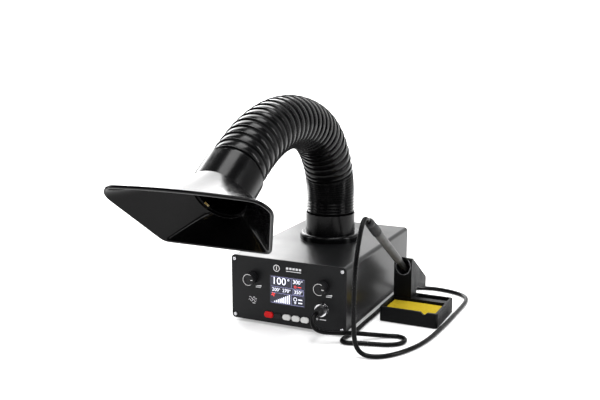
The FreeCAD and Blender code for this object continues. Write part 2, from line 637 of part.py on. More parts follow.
def hose_path():
    """The hose's centre line as stretches: (kind, start length, length, start point, start angle, radius).
    The angle is measured from straight up towards the front."""
    stretches = [("line", -HOSE_SEAT, HOSE_STRAIGHT + HOSE_SEAT, V(0, DUCT_Y, COLLAR_Z1 - HOSE_SEAT), 0.0, 0.0)]
    run, point, angle = HOSE_STRAIGHT, V(0, DUCT_Y, COLLAR_Z1 + HOSE_STRAIGHT), 0.0
    for radius, degrees in HOSE_ARCS:
        turn = math.radians(degrees)
        stretches.append(("arc", run, radius * turn, point, angle, radius))
        ahead = radius * (math.cos(angle) - math.cos(angle + turn))
        rise = radius * (math.sin(angle + turn) - math.sin(angle))
        point = point + V(0, -ahead, rise)
        run, angle = run + radius * turn, angle + turn
    stretches.append(("line", run, HOSE_TUCK, point, angle, 0.0))
    return stretches


def way(angle):
    return V(0, -math.sin(angle), math.cos(angle))


def hose_at(run):
    """Point and direction of the hose's centre line at a length along it."""
    for kind, start, length, point, angle, radius in hose_path():
        if run <= start + length + 1e-6:
            step = max(run - start, 0.0)
            if kind == "line":
                return point + way(angle) * step, angle
            turn = angle + step / radius
            ahead = radius * (math.cos(angle) - math.cos(turn))
            rise = radius * (math.sin(turn) - math.sin(angle))
            return point + V(0, -ahead, rise), turn
    raise ValueError("past the hose's end")


def hose_piece(run0, run1):
    """Tube wall between two lengths along the hose."""
    piece = None
    for kind, start, length, point, angle, radius in hose_path():
        a, b = max(run0, start), min(run1, start + length)
        if b - a < 1e-6:
            continue
        centre, turn = hose_at(a)
        if kind == "line":
            part = ring(HOSE_R, HOSE_R - HOSE_WALL, centre, way(turn), b - a)
        else:
            pivot = point + V(0, -math.cos(angle), -math.sin(angle)) * radius
            sweep = math.degrees((b - a) / radius)
            part = disc(HOSE_R, centre, way(turn)).revolve(pivot, X, sweep)
            part = part.cut(disc(HOSE_R - HOSE_WALL, centre, way(turn)).revolve(pivot, X, sweep))
        piece = part if piece is None else piece.fuse(part)
    return piece.removeSplitter()


HOSE_END = HOSE_STRAIGHT + sum(r * math.radians(d) for r, d in HOSE_ARCS)
E0, END_ANGLE = hose_at(HOSE_END)
AHEAD = way(END_ANGLE)
ACROSS = V(0, AHEAD.z, -AHEAD.y)


def hood_ring(radius, along):
    """Circle round the collar's axis in eight arcs that match the mouth's eight edges."""
    stops = (-65, -35, 25, 50, 130, 155, 215, 245, 295)
    centre = E0 + AHEAD * along

    def at(degrees):
        a = math.radians(degrees)
        return centre + X * (radius * math.cos(a)) + ACROSS * (radius * math.sin(a))
    return Part.Wire([Part.Arc(at(a), at((a + b) / 2), at(b)).toShape() for a, b in zip(stops, stops[1:])])


MOUTH_AXIS = V(0, AHEAD.y * math.cos(math.radians(MOUTH_TILT)) - ACROSS.y * math.sin(math.radians(MOUTH_TILT)),
               AHEAD.z * math.cos(math.radians(MOUTH_TILT)) - ACROSS.z * math.sin(math.radians(MOUTH_TILT)))
MOUTH_UP = V(0, MOUTH_AXIS.z, -MOUTH_AXIS.y)
MOUTH_CENTRE = E0 + AHEAD * MOUTH_AHEAD + ACROSS * MOUTH_RISE


def mouth_outline(grow, ahead):
    """Rounded trapezoid of the hood's mouth, moved out by grow and along its axis by ahead."""
    half_h = MOUTH_H / 2
    slope = (MOUTH_TOP_W - MOUTH_BOTTOM_W) / 2 / MOUTH_H
    side = grow * math.sqrt(1 + slope * slope)
    centre = MOUTH_CENTRE + MOUTH_AXIS * ahead

    def half_width(v):
        return (MOUTH_TOP_W + MOUTH_BOTTOM_W) / 4 + slope * v + side

    low, high = -half_h - grow, half_h + grow
    corners = [centre + X * (sx * half_width(v)) + MOUTH_UP * v
               for sx, v in ((1, low), (1, high), (-1, high), (-1, low))]
    radii = [MOUTH_BOTTOM_R + grow, MOUTH_TOP_R + grow, MOUTH_TOP_R + grow, MOUTH_BOTTOM_R + grow]
    return rounded_outline(corners, radii, (1, MOUTH_UP * MOUTH_BOW))


def hood_inside():
    return Part.makeLoft([hood_ring(HOOD_NECK_R, HOOD_COLLAR_L), mouth_outline(-HOOD_WALL, 0)], True, True)


def hood_shell():
    """Flared shell with a rolled lip. Its neck goes into the collar and has a throat that stops the hose."""
    neck = HOOD_COLLAR_L
    outer = Part.makeLoft([hood_ring(HOOD_COLLAR_R, neck), mouth_outline(0, 0)], True, True)
    lip = Part.Face(mouth_outline(LIP_OUT, 1.0 - LIP_DEEP)).extrude(MOUTH_AXIS * LIP_DEEP)
    mouth_cut = Part.Face(mouth_outline(-HOOD_WALL, 0)).extrude(MOUTH_AXIS * (LIP_DEEP + 2))
    spigot = cyl(HOOD_COLLAR_R - HOOD_WALL - FIT, E0 + AHEAD * (neck - 14.0), AHEAD, 15.0)
    bore = cyl(HOOD_BORE_R, E0 + AHEAD * (neck - 15.0), AHEAD, 17.0)
    mouth_of_bore = cyl(HOOD_NECK_R - 0.8, E0 + AHEAD * THROAT_END, AHEAD, neck + 2.0 - THROAT_END)
    shell = outer.fuse(lip).fuse(spigot).cut(hood_inside()).cut(mouth_cut)
    return shell.cut(bore).cut(mouth_of_bore).removeSplitter()


def hood_collar():
    return ring(HOOD_COLLAR_R, HOSE_R + SWIVEL, E0, AHEAD, HOOD_COLLAR_L)


def lamp_contact():
    """Short brass strip on the throat's wall, which brings the lamp its current."""
    back = E0 + AHEAD * (THROAT_END - CONTACT_W)
    strip = ring(HOOD_BORE_R, HOOD_BORE_R - CONTACT_T, back, AHEAD, CONTACT_W)
    reach = 2 * HOOD_BORE_R
    turns = [math.radians(a) for a in CONTACT_ARC]
    rays = [back + X * (reach * math.cos(a)) + ACROSS * (reach * math.sin(a)) for a in turns]
    wedge = Part.Face(Part.makePolygon([back, *rays, back])).extrude(AHEAD * CONTACT_W)
    return strip.common(wedge)


def hood_lamp():
    """Light strip bedded on the hood's upper wall, with a row of small lenses."""
    neck_top = E0 + AHEAD * HOOD_COLLAR_L + ACROSS * HOOD_NECK_R
    mouth_top = MOUTH_CENTRE + MOUTH_UP * (MOUTH_H / 2 - HOOD_WALL)
    along = (mouth_top - neck_top).normalize()
    inward = V(0, -along.z, along.y)
    spot = neck_top + (mouth_top - neck_top) * LAMP_SPOT

    def bar(x0, x1, half, low, high):
        outline = ((-half, low), (half, low), (half, high), (-half, high))
        corners = [spot + along * a + inward * b for a, b in outline]
        face = Part.Face(Part.makePolygon(corners + corners[:1]))
        face.translate(X * x0)
        return face.extrude(X * (x1 - x0))
    lamp = bar(-LAMP_W / 2, LAMP_W / 2, LAMP_HALF, -12.0, 4.0)
    pitch = LAMP_W / LENSES
    for k in range(LENSES):
        x = -LAMP_W / 2 + pitch * (k + 0.5)
        lamp = lamp.fuse(bar(x - 2.0, x + 2.0, 1.8, 3.0, 5.0))
    return lamp.common(hood_inside()).removeSplitter()


# ---------------------------------------------------------------- stand
def holder_profile():
    """Side view of the holder: upright column, with a sheath that runs down behind it round the hot tip."""
    x = HOLDER_X0
    crown = MOUTH_Z + BORE_R / math.cos(math.radians(IRON_ANGLE)) + 1.4
    fall = math.tan(math.radians(IRON_ANGLE))
    sheath_end = HOLDER_Y + SHEATH_LENGTH
    outline = [(HOLDER_Y, PAD_SHOW + 3.0), (HOLDER_Y + 29.0, PAD_SHOW + 3.0), (HOLDER_Y + 29.0, MOUTH_Z - 48.5),
               (HOLDER_Y + 38.0, MOUTH_Z - 43.0), (sheath_end, MOUTH_Z - 60.0),
               (sheath_end, crown - fall * SHEATH_LENGTH), (HOLDER_Y, crown)]
    corners = [V(x, y, z) for y, z in outline]
    return Part.Face(rounded_outline(corners, [0.5, 0.5, 3.0, 3.0, 3.0, 6.0, 4.0]))


def stand_base():
    tray = slab_z(TRAY_X0, TRAY_X1, TRAY_FRONT, TRAY_Y1, PAD_SHOW, TRAY_H, TRAY_R)
    tray = round_edges(tray, 0.8, at_z(TRAY_H))
    holder = holder_profile().extrude(V(HOLDER_W, 0, 0))
    stand = tray.fuse(holder)
    pocket_y0 = TRAY_FRONT + TRAY_WALL
    right = TRAY_X1 - TRAY_WALL
    stand = stand.cut(slab_z(TRAY_X0 + TRAY_WALL, right, pocket_y0, pocket_y0 + POCKET_D,
                             SPONGE_TOP - SPONGE_T, TRAY_H + 1, 2.0))
    slot_y1 = TRAY_Y1 - TRAY_WALL
    slot_z0 = TRAY_H - SLOT_DEEP
    stand = stand.cut(slab_z(HOLDER_X1 + 5.0, right, slot_y1 - SLOT_D, slot_y1, slot_z0, TRAY_H + 1, 2.0))
    wipe_x = TRAY_X1 - 22.0
    notch = [(-6.0, 0.5), (6.0, 0.5), (1.0, -4.0), (-1.0, -4.0), (-6.0, 0.5)]
    face = Part.Face(Part.makePolygon([V(wipe_x + dx, TRAY_FRONT - 1, TRAY_H + dz) for dx, dz in notch]))
    stand = stand.cut(face.extrude(V(0, TRAY_WALL + 1.5, 0)))
    bore_start = IRON_MOUTH + IRON_AXIS * 20.0
    stand = stand.cut(cyl(BORE_R, bore_start, -IRON_AXIS, 20.0 + LINER_L))
    stand = stand.cut(cone(9.0, 3.6, IRON_MOUTH - IRON_AXIS * LINER_L, -IRON_AXIS, -BORE_END - LINER_L))
    for x, y in pad_places():
        stand = stand.cut(cyl(PAD_R + 0.2, V(x, y, 0), Z, PAD_H))
    return stand.removeSplitter()


def pad_places():
    inset = 9.0
    return [(x, y) for x in (TRAY_X0 + inset, TRAY_X1 - inset) for y in (TRAY_FRONT + inset, TRAY_Y1 - inset)]


def stand_feet():
    return [round_edges(cyl(PAD_R, V(x, y, 0), Z, PAD_H), 0.4, at_z(0)) for x, y in pad_places()]


def holder_liner():
    tube = ring(BORE_R - 0.1, BORE_R - 0.1 - LINER_T, IRON_MOUTH + IRON_AXIS * 12.0, -IRON_AXIS, LINER_L + 12.0)
    return tube.common(box(HOLDER_X0, HOLDER_X1, HOLDER_Y + 0.5, HOLDER_Y + 90, 0, MOUTH_Z + 45))


def sponge():
    y0 = TRAY_FRONT + TRAY_WALL + 0.8
    x0, x1 = TRAY_X0 + TRAY_WALL + 0.8, TRAY_X1 - TRAY_WALL - 0.8
    return slab_z(x0, x1, y0, y0 + POCKET_D - 1.6, SPONGE_TOP - SPONGE_T + 0.05, SPONGE_TOP, 2.5)


# ---------------------------------------------------------------- iron and its cord
def along_iron(s):
    return IRON_MOUTH + IRON_AXIS * s


def round_end(shape, s, radius):
    """Fillet the rim of a piece of the iron that lies at this distance along it."""
    at = along_iron(s)
    return round_edges(shape, radius, lambda e: abs((e.CenterOfMass - at).dot(IRON_AXIS)) < 1e-3)


def iron_parts():
    grip = cone(GRIP_R - 0.4, GRIP_R, along_iron(GRIP_FRONT), IRON_AXIS, GRIP_REAR - GRIP_FRONT)
    grip = round_end(grip, GRIP_FRONT, 2.0)
    sleeve = cone(GRIP_R + 0.8, GRIP_R, along_iron(GRIP_REAR), IRON_AXIS, SLEEVE_REAR - GRIP_REAR)
    sleeve = round_end(sleeve, SLEEVE_REAR, 2.0)
    nose = cone(*NOSE_R, along_iron(NOSE_END), IRON_AXIS, GRIP_FRONT - NOSE_END)
    barrel = cyl(BARREL_R, along_iron(BARREL_END), IRON_AXIS, NOSE_END - BARREL_END)
    tip = cone(0.5, 2.2, along_iron(TIP_END), IRON_AXIS, BARREL_END - TIP_END)
    return grip, sleeve, nose, barrel.fuse(tip).removeSplitter()


ROUTE_CASE_W = 196.0
ROUTE_CASE_D = 292.8
ROUTE_BESIDE = 98.0
ROUTE_AHEAD = 105.0
# The cord lies where the user left it: out of the plug, back and forth on the table in front,
# along the case's side, round behind the stand, and up over the front into the iron.
CORD_ROUTE = [
    (COLUMN_X, PLUG_FRONT, SOCKET_AXIS_Z), (COLUMN_X, PLUG_FRONT - 10.6, SOCKET_AXIS_Z),
    (60.5, -188.5, 33.0), (65.5, -189.0, 23.5),
    (76.0, -183.0, 18.2), (91.0, -172.5, 16.2), (107.0, -161.0, 14.6), (123.0, -147.5, 11.4),
    (139.0, -132.0, 6.8), (155.0, -119.5, FLOOR_Z), (170.0, -114.0, FLOOR_Z), (181.5, -118.5, FLOOR_Z),
    (186.0, -131.0, FLOOR_Z), (181.0, -145.5, FLOOR_Z), (166.0, -155.5, FLOOR_Z), (145.0, -161.0, FLOOR_Z),
    (126.0, -166.0, FLOOR_Z), (111.0, -173.0, FLOOR_Z), (100.5, -170.5, FLOOR_Z), (98.5, -158.0, FLOOR_Z),
    (102.0, -141.0, FLOOR_Z), (104.0, -116.0, FLOOR_Z), (103.4, -80.0, FLOOR_Z), (104.0, -38.0, FLOOR_Z),
    (103.4, 6.0, FLOOR_Z), (104.2, 48.0, FLOOR_Z), (104.0, 84.0, FLOOR_Z), (109.0, 112.0, FLOOR_Z),
    (123.0, 131.0, FLOOR_Z), (146.0, 139.5, FLOOR_Z), (172.0, 138.5, FLOOR_Z), (196.0, 131.5, FLOOR_Z),
    (214.0, 118.5, FLOOR_Z), (221.5, 97.0, FLOOR_Z), (222.3, 64.0, FLOOR_Z), (221.6, 28.0, FLOOR_Z),
    (221.3, -10.0, FLOOR_Z), (219.6, -48.0, FLOOR_Z), (217.4, -84.0, FLOOR_Z), (213.5, -118.0, FLOOR_Z),
    (206.0, -148.0, FLOOR_Z), (194.5, -175.0, FLOOR_Z), (179.5, -197.5, FLOOR_Z), (162.5, -207.5, FLOOR_Z),
    (148.5, -210.0, 5.5), (139.2, -211.5, 15.5), (136.0, -212.0, 34.0), (135.4, -211.8, 62.0),
    (135.4, -211.0, 94.0), (135.4, -208.3, 124.0), (135.4, -202.0, 150.0), (135.4, -192.5, 171.5),
    (135.4, -184.0, 185.5), (135.4, -176.5, 193.5),
]


def cord_points():
    """The chosen points, ending straight into the iron's rear. They were chosen round a case of the width
    and depth below. On another case, points right of it and in front of it keep their distance from it."""
    wider = (CASE_W - ROUTE_CASE_W) / 2
    deeper = (CASE_D - ROUTE_CASE_D) / 2
    points = []
    for x, y, z in CORD_ROUTE:
        points.append(V(x + (wider if x > ROUTE_BESIDE else 0), y - (deeper if -y > ROUTE_AHEAD else 0), z))
    points[0] = V(COLUMN_X, PLUG_FRONT, SOCKET_AXIS_Z)
    points[1] = points[0] - Y * 10.6
    return points + [along_iron(SLEEVE_REAR + 11.0), along_iron(SLEEVE_REAR)]


def cord():
    points = cord_points()
    edges, radii = [], []
    start = points[0]
    for before, corner, after in zip(points, points[1:], points[2:]):
        a, b = before - corner, after - corner
        shorter = min(a.Length, b.Length)
        a.normalize()
        b.normalize()
        half_turn = (math.pi - a.getAngle(b)) / 2
        reach = 0.45 * shorter
        radius = reach / math.tan(half_turn)
        radii.append(round(radius, 1))
        p, q = corner + a * reach, corner + b * reach
        middle = (a + b).normalize()
        knee = corner + middle * (radius / math.cos(half_turn) - radius)
        edges.append(Part.LineSegment(start, p).toShape())
        edges.append(Part.Arc(p, knee, q).toShape())
        start = q
    edges.append(Part.LineSegment(start, points[-1]).toShape())
    path = Part.Wire(edges)
    first = (points[1] - points[0]).normalize()
    section = Part.Wire(Part.Circle(points[0], first, CORD_R).toShape())
    tube = path.makePipeShell([section], True, True)
    print("cord arc radii, mm:", radii)
    print("cord length, mm:", round(path.Length, 1), "volume over section times length:",
          round(tube.Volume / (math.pi * CORD_R ** 2 * path.Length), 4))
    return tube


# ---------------------------------------------------------------- write every node
cover, base = case_halves()
save("case_cover", cover)
save("case_base", base)
save("front_panel", front_panel())
save("rear_panel", rear_panel())
save("panel_screws", panel_screws())
foot_pads, foot_screws = feet()
save("rubber_feet", foot_pads)
save("feet_screws", foot_screws)
window, module = display()
save("display_window", window)
save("display_module", module)
save("control_board", control_board())
save("board_pillars", board_pillars())
save("button_switches", button_switches())
button_names = ("power_button", "light_button", "preset_button_1", "preset_button_2", "preset_button_3")
for number, name in enumerate(button_names):
    save(name, button(number))
save("dial_controls", [dial_control(-1), dial_control(1)])
for name, side in (("fan_knob", -1), ("temperature_knob", 1)):
    cap, shaft = knob(side)
    save(name, cap)
    save(name + "_shaft", shaft)
iron_socket, socket_nut = socket_parts()
save("iron_socket", iron_socket)
save("socket_nut", socket_nut)
iron_plug, plug_ring = plug_parts()
save("iron_plug", iron_plug)
save("plug_ring", plug_ring)
power_board, transformer, capacitors = power_supply()
save("power_board", power_board)
save("transformer", transformer)
save("capacitors", capacitors)
save("mains_inlet", mains_inlet())
switch_frame, rocker_switch = rocker_and_frame()
save("switch_frame", switch_frame)
save("rocker_switch", rocker_switch)
housing, blower_cover, motor, impeller = blower()
save("blower_housing", housing)
save("blower_cover", blower_cover)
save("blower_motor", motor)
save("blower_impeller", impeller)
save("exhaust_filter", exhaust_filter())
save("duct_flange", duct_flange())
save("duct_gasket", duct_gasket())
save("flange_screws", flange_screws())
save("duct_collar", duct_collar())
for name, run0, run1 in HOSE_CUTS:
    save(name, hose_piece(run0, run1))
save("hose_end", hose_piece(HOSE_CUTS[-1][2], HOSE_END + HOSE_TUCK))
save("hood_collar", hood_collar())
save("hood_shell", hood_shell())
save("hood_lamp", [hood_lamp(), lamp_contact()])
save("stand_base", stand_base())
save("stand_feet", stand_feet())
save("holder_liner", holder_liner())
save("sponge", sponge())
grip, sleeve, nose, tip = iron_parts()
save("iron_grip", grip)
save("iron_sleeve", sleeve)
save("iron_nose", nose)
save("iron_tip", tip)
save("iron_cord", cord())
print("hose end", E0, "angle", math.degrees(END_ANGLE), "mouth", MOUTH_CENTRE, "axis", MOUTH_AXIS)
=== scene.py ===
import json
import math

import bmesh
import bpy
from bpy.props import FloatProperty, FloatVectorProperty, PointerProperty
from mathutils import Matrix, Vector, noise


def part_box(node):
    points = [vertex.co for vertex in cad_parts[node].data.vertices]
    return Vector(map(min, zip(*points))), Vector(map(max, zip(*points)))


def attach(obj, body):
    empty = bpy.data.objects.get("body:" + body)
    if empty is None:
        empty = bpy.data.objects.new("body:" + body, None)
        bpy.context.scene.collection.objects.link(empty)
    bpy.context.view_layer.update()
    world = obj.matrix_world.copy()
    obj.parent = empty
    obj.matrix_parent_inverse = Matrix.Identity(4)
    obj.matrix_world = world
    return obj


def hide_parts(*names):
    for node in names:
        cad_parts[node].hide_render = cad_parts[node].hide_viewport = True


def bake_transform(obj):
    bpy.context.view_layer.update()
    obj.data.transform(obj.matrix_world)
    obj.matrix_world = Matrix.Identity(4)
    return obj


bl_info = {
    "name": "Soldering Station with Fume Duct",
    "version": (1, 0, 0),
    "blender": (4, 5, 0),
    "location": "View3D > Sidebar > Station",
    "description": "Dresses a soldering station, its fume hose and hood, iron, stand and cord",
    "category": "Object",
}

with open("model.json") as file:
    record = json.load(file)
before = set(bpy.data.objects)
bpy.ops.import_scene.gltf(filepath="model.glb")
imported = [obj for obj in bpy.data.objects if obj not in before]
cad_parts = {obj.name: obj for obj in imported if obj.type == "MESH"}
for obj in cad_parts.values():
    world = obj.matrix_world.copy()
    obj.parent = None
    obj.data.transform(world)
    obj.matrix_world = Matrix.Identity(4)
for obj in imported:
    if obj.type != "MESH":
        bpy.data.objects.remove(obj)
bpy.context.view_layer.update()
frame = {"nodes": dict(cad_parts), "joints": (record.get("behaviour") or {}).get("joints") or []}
NODES = frame["nodes"]

COLLAR_LOW, COLLAR_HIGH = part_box("duct_collar")
PANEL_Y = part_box("front_panel")[0].y
JOINTS = {joint["name"]: joint for joint in frame["joints"]}


# ------------------------------------------------------------------ shading
# Numbers of a Mix node's sockets when it mixes colours, and the roughness of every noise.
MIX_SHARE, MIX_FIRST, MIX_SECOND, MIX_RESULT = 0, 6, 7, 2
NOISE_ROUGHNESS = 0.5


def scaled(colour, factor, lift=0.0):
    """A colour made lighter or darker."""
    return tuple(min(1.0, part * factor + lift) for part in colour)


class Value:
    """A socket that sums can be written with: each operator adds a Math node."""

    def __init__(self, maker, socket):
        self.maker, self.socket = maker, socket

    def math(self, operation, *others):
        return self.maker.node("ShaderNodeMath", {"operation": operation}, dict(enumerate((self, *others))))

    def __add__(self, other):
        return self.math("ADD", other)

    def __sub__(self, other):
        return self.math("SUBTRACT", other)

    def __mul__(self, other):
        return self.math("MULTIPLY", other)

    def __rsub__(self, other):
        return self.maker.node("ShaderNodeMath", {"operation": "SUBTRACT"}, {0: other, 1: self})

    __radd__ = __add__
    __rmul__ = __mul__

    def between(self, low, high):
        """0 at low, 1 at high, with a soft start and end."""
        inputs = {"Value": self, "From Min": low, "From Max": high}
        return self.maker.node("ShaderNodeMapRange", {"interpolation_type": "SMOOTHSTEP"}, inputs, "Result")


class Finish:
    """A material on one principled shader."""

    def __init__(self, name, colour, roughness, metallic=0.0, **fixed):
        self.material = bpy.data.materials.new(name)
        self.material.use_nodes = True
        self.tree = self.material.node_tree
        self.shader = self.tree.nodes["Principled BSDF"]
        self.colour, self.roughness = (*colour, 1.0), roughness
        self.set("Base Color", self.colour)
        self.set("Roughness", roughness)
        self.set("Metallic", metallic)
        for socket, value in fixed.items():
            self.set(socket.replace("_", " ").title().replace("Ior", "IOR"), value)
        self.material.diffuse_color = self.colour

    def set(self, socket, value):
        """Puts a number, colour or link on one of the shader's sockets."""
        self.plug(self.shader.inputs[socket], value)
        return self

    def plug(self, target, value):
        """Links a Value to a socket, or sets the socket to a constant."""
        if isinstance(value, Value):
            self.tree.links.new(value.socket, target)
        else:
            target.default_value = value

    def node(self, kind, settings, inputs, output=0):
        """Adds a node. Its settings come first, because some of them change its sockets."""
        made = self.tree.nodes.new(kind)
        for name, setting in settings.items():
            setattr(made, name, setting)
        for name, value in inputs.items():
            self.plug(made.inputs[name], value)
        return Value(self, made.outputs[output])

    def place(self):
        """Position on the object, in metres."""
        return self.node("ShaderNodeTexCoord", {}, {}, "Object")

    def axis(self, letter):
        """One coordinate of the position on the object, in metres."""
        return self.node("ShaderNodeSeparateXYZ", {}, {"Vector": self.place()}, letter)

    def grain(self, scale, detail=3.0, stretch=(1.0, 1.0, 1.0)):
        """Noise with features about 1/scale metres across, from 0 to 1."""
        where = self.node("ShaderNodeMapping", {}, {"Vector": self.place(), "Scale": stretch})
        inputs = {"Vector": where, "Scale": scale, "Detail": detail, "Roughness": NOISE_ROUGHNESS}
        return self.node("ShaderNodeTexNoise", {}, inputs)

    def cells(self, scale):
        """Distance from the middle of round cells about 1/scale metres across."""
        inputs = {"Vector": self.place(), "Scale": scale}
        return self.node("ShaderNodeTexVoronoi", {"feature": "F1"}, inputs, "Distance")

    def mix(self, share, first, second):
        """Colour between two colours."""
        first, second = [(*c, 1.0) if isinstance(c, tuple) else c for c in (first, second)]
        inputs = {MIX_SHARE: share, MIX_FIRST: first, MIX_SECOND: second}
        return self.node("ShaderNodeMix", {"data_type": "RGBA"}, inputs, MIX_RESULT)

    def bump(self, height, depth):
        """Raises the surface by height times depth, in metres."""
        inputs = {"Height": height, "Distance": depth, "Strength": 1.0}
        return self.set("Normal", self.node("ShaderNodeBump", {}, inputs, "Normal"))

    def worn(self, amount, scale=40.0):
        """Uneven gloss, as handling and dust leave it."""
        smudge = self.grain(scale, 4.0).between(0.35, 0.7)
        return self.set("Roughness", smudge * amount + (self.roughness - amount / 2))


def powder_coat(name, colour, roughness):
    """Baked powder paint: a fine orange peel, even in colour, with a little more gloss where hands rub it."""
    made = Finish(name, colour, roughness, specular_ior_level=0.16)
    light = scaled(colour, 1.25, 0.002)
    made.set("Base Color", made.mix(made.grain(2600.0, 2.0).between(0.35, 0.7), colour, light))
    made.bump(made.grain(1500.0, 2.0), 0.00003)
    return made.worn(0.05, 14.0)


def moulded(name, colour, roughness, dust=(0.05, 0.05, 0.055)):
    """Injection-moulded plastic: fine flow marks, a trace of dust and uneven gloss."""
    made = Finish(name, colour, roughness, specular_ior_level=0.15)
    specks = made.grain(900.0, 3.0).between(0.66, 0.8) * 0.2
    made.set("Base Color", made.mix(specks * made.grain(25.0, 2.0), colour, dust))
    made.bump(made.grain(120.0, 2.0) + made.grain(2500.0, 2.0) * 0.1, 0.00003)
    return made.worn(0.06, 60.0)


def leather_grain(name, colour, roughness):
    """Textured ABS with a fine spark-eroded surface."""
    made = Finish(name, colour, roughness, specular_ior_level=0.08)
    light = scaled(colour, 1.5, 0.001)
    made.set("Base Color", made.mix(made.grain(3000.0, 2.0).between(0.45, 0.75), colour, light))
    made.bump(made.cells(2300.0) + made.grain(6000.0, 1.0) * 0.5, 0.00008)
    return made.worn(0.12)


def rubbery(name, colour, roughness):
    """Soft rubber: a fine matt grain with paler, rubbed patches."""
    made = Finish(name, colour, roughness, specular_ior_level=0.22, sheen_weight=0.02)
    pale = scaled(colour, 1.4, 0.001)
    made.set("Base Color", made.mix(made.grain(60.0, 4.0).between(0.4, 0.8) * 0.6, colour, pale))
    made.bump(made.grain(3500.0, 2.0), 0.00007)
    return made.worn(0.12, 90.0)


def metal(name, colour, roughness, depth=0.00002):
    """Metal with fine scratches as deep as depth, and a duller film in places."""
    made = Finish(name, colour, roughness, 1.0)
    made.bump(made.grain(1500.0, 3.0), depth)
    made.set("Base Color", made.mix(made.grain(300.0, 3.0).between(0.3, 0.8), colour, scaled(colour, 0.82)))
    return made.worn(0.14, 200.0)


def lit(name, colour, strength):
    """Part of a lit display, with the faint dot structure of its panel."""
    made = Finish(name, colour, 0.4)
    dots = made.grain(5000.0, 1.0).between(0.2, 0.6) * 0.15 + 0.85
    made.set("Emission Color", made.mix(dots, (0.0, 0.0, 0.0), colour))
    made.shader.inputs["Emission Strength"].default_value = strength
    return made


def printed(name, colour):
    """Screen-printed ink, slightly broken at its edges."""
    made = Finish(name, colour, 0.5)
    broken = made.grain(4000.0, 2.0).between(0.3, 0.6)
    made.set("Base Color", made.mix(broken, scaled(colour, 0.72), colour))
    return made


def sponge_foam(name, colour):
    """Cellulose sponge: round pores of several sizes, with painted shade darkening their insides."""
    made = Finish(name, colour, 0.95, specular_ior_level=0.2)
    big = made.cells(420.0).between(0.0, 0.42)
    small = made.cells(1150.0).between(0.0, 0.5)
    speckle = made.grain(1800.0, 3.0).between(0.35, 0.7)
    pore = (big * 0.65 + small * 0.35) * (speckle * 0.35 + 0.65)
    pale = (min(1.0, colour[0] * 1.2), min(1.0, colour[1] * 1.15), colour[2] * 1.15)
    # Painted shade: the pore mask gives the middle of every pore a darker copy of the sponge colour, as if
    # shade fell into it.
    made.set("Base Color", made.mix(pore, scaled(colour, 0.36), pale))
    return made.bump(pore, 0.0007)


def circuit_board(name, colour):
    """Green solder mask over rows of tracks, with tinned pads."""
    made = Finish(name, colour, 0.35, specular_ior_level=0.5)
    rows = {"Vector": made.place(), "Scale": 90.0, "Distortion": 6.0, "Detail": 2.0}
    waves = made.node("ShaderNodeTexWave", {"wave_type": "BANDS", "bands_direction": "Z"}, rows, "Fac")
    tracks = waves.between(0.55, 0.65)
    pads = 1 - made.cells(260.0).between(0.1, 0.14)
    mask = made.mix(tracks, colour, scaled(colour, 1.9))
    made.set("Base Color", made.mix(pads, mask, (0.7, 0.7, 0.66)))
    made.set("Metallic", pads * 0.9)
    return made.bump(tracks + pads, 0.00005)


def layered_iron(name, colour):
    """Stacked laminations of a transformer core."""
    made = Finish(name, colour, 0.45, 0.8)
    sheets = made.node("ShaderNodeTexWave", {"wave_type": "BANDS", "bands_direction": "X"},
                       {"Vector": made.place(), "Scale": 320.0, "Distortion": 0.3}, "Fac")
    made.set("Base Color", made.mix(sheets, scaled(colour, 0.5), colour))
    return made.bump(sheets, 0.0001)


def pleated_paper(name, colour):
    """Filter paper: long pale fibres that run down the pleats."""
    made = Finish(name, colour, 0.9, sheen_weight=0.2)
    fibres = made.grain(900.0, 5.0, (1.0, 1.0, 0.25))
    made.set("Base Color", made.mix(fibres.between(0.3, 0.7), scaled(colour, 0.75), colour))
    return made.bump(fibres, 0.0002)


# ------------------------------------------------------------------ mesh helpers
def finished(name, mesh, finish, body, smooth=50.0):
    """Makes a piece of a mesh, gives it a finish and lets it ride on a body."""
    piece = bpy.data.objects.new(name, mesh)
    bpy.context.scene.collection.objects.link(piece)
    mesh.materials.clear()
    mesh.materials.append(finish.material)
    shade(mesh, smooth)
    if body:
        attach(piece, body)
    return piece


def shade(mesh, degrees):
    """Smooth shading, broken at edges sharper than this."""
    mesh.polygons.foreach_set("use_smooth", [True] * len(mesh.polygons))
    mesh.set_sharp_from_angle(angle=math.radians(degrees))


def from_bmesh(name, bm):
    """Mesh from a bmesh, with its faces turned outwards."""
    bmesh.ops.recalc_face_normals(bm, faces=bm.faces[:])
    mesh = bpy.data.meshes.new(name)
    bm.to_mesh(mesh)
    bm.free()
    return mesh


def skin(name, rings, closed_ends=False, loop=False):
    """Mesh through a list of rings that all have the same number of points."""
    bm = bmesh.new()
    rows = [[bm.verts.new(p) for p in ring] for ring in rings]
    count = len(rings[0])
    pairs = list(zip(rows, rows[1:])) + ([(rows[-1], rows[0])] if loop else [])
    for a, b in pairs:
        for i in range(count):
            j = (i + 1) % count
            bm.faces.new((a[i], a[j], b[j], b[i]))
    if closed_ends:
        bm.faces.new(rows[0][::-1])
        bm.faces.new(rows[-1])
    return from_bmesh(name, bm)


def circle(centre, across, up, radius, count):
    """Ring of points round a centre."""
    turn = 2 * math.pi / count
    return [centre + across * (radius * math.cos(k * turn)) + up * (radius * math.sin(k * turn))
            for k in range(count)]


def lathe(name, origin, axis, profile, count=48):
    """Closed solid of revolution. The profile is (distance along the axis, radius)."""
    axis = Vector(axis).normalized()
    across = axis.orthogonal().normalized()
    up = axis.cross(across)
    rings = [circle(origin + axis * along, across, up, radius, count) for along, radius in profile]
    return skin(name, rings, closed_ends=True)


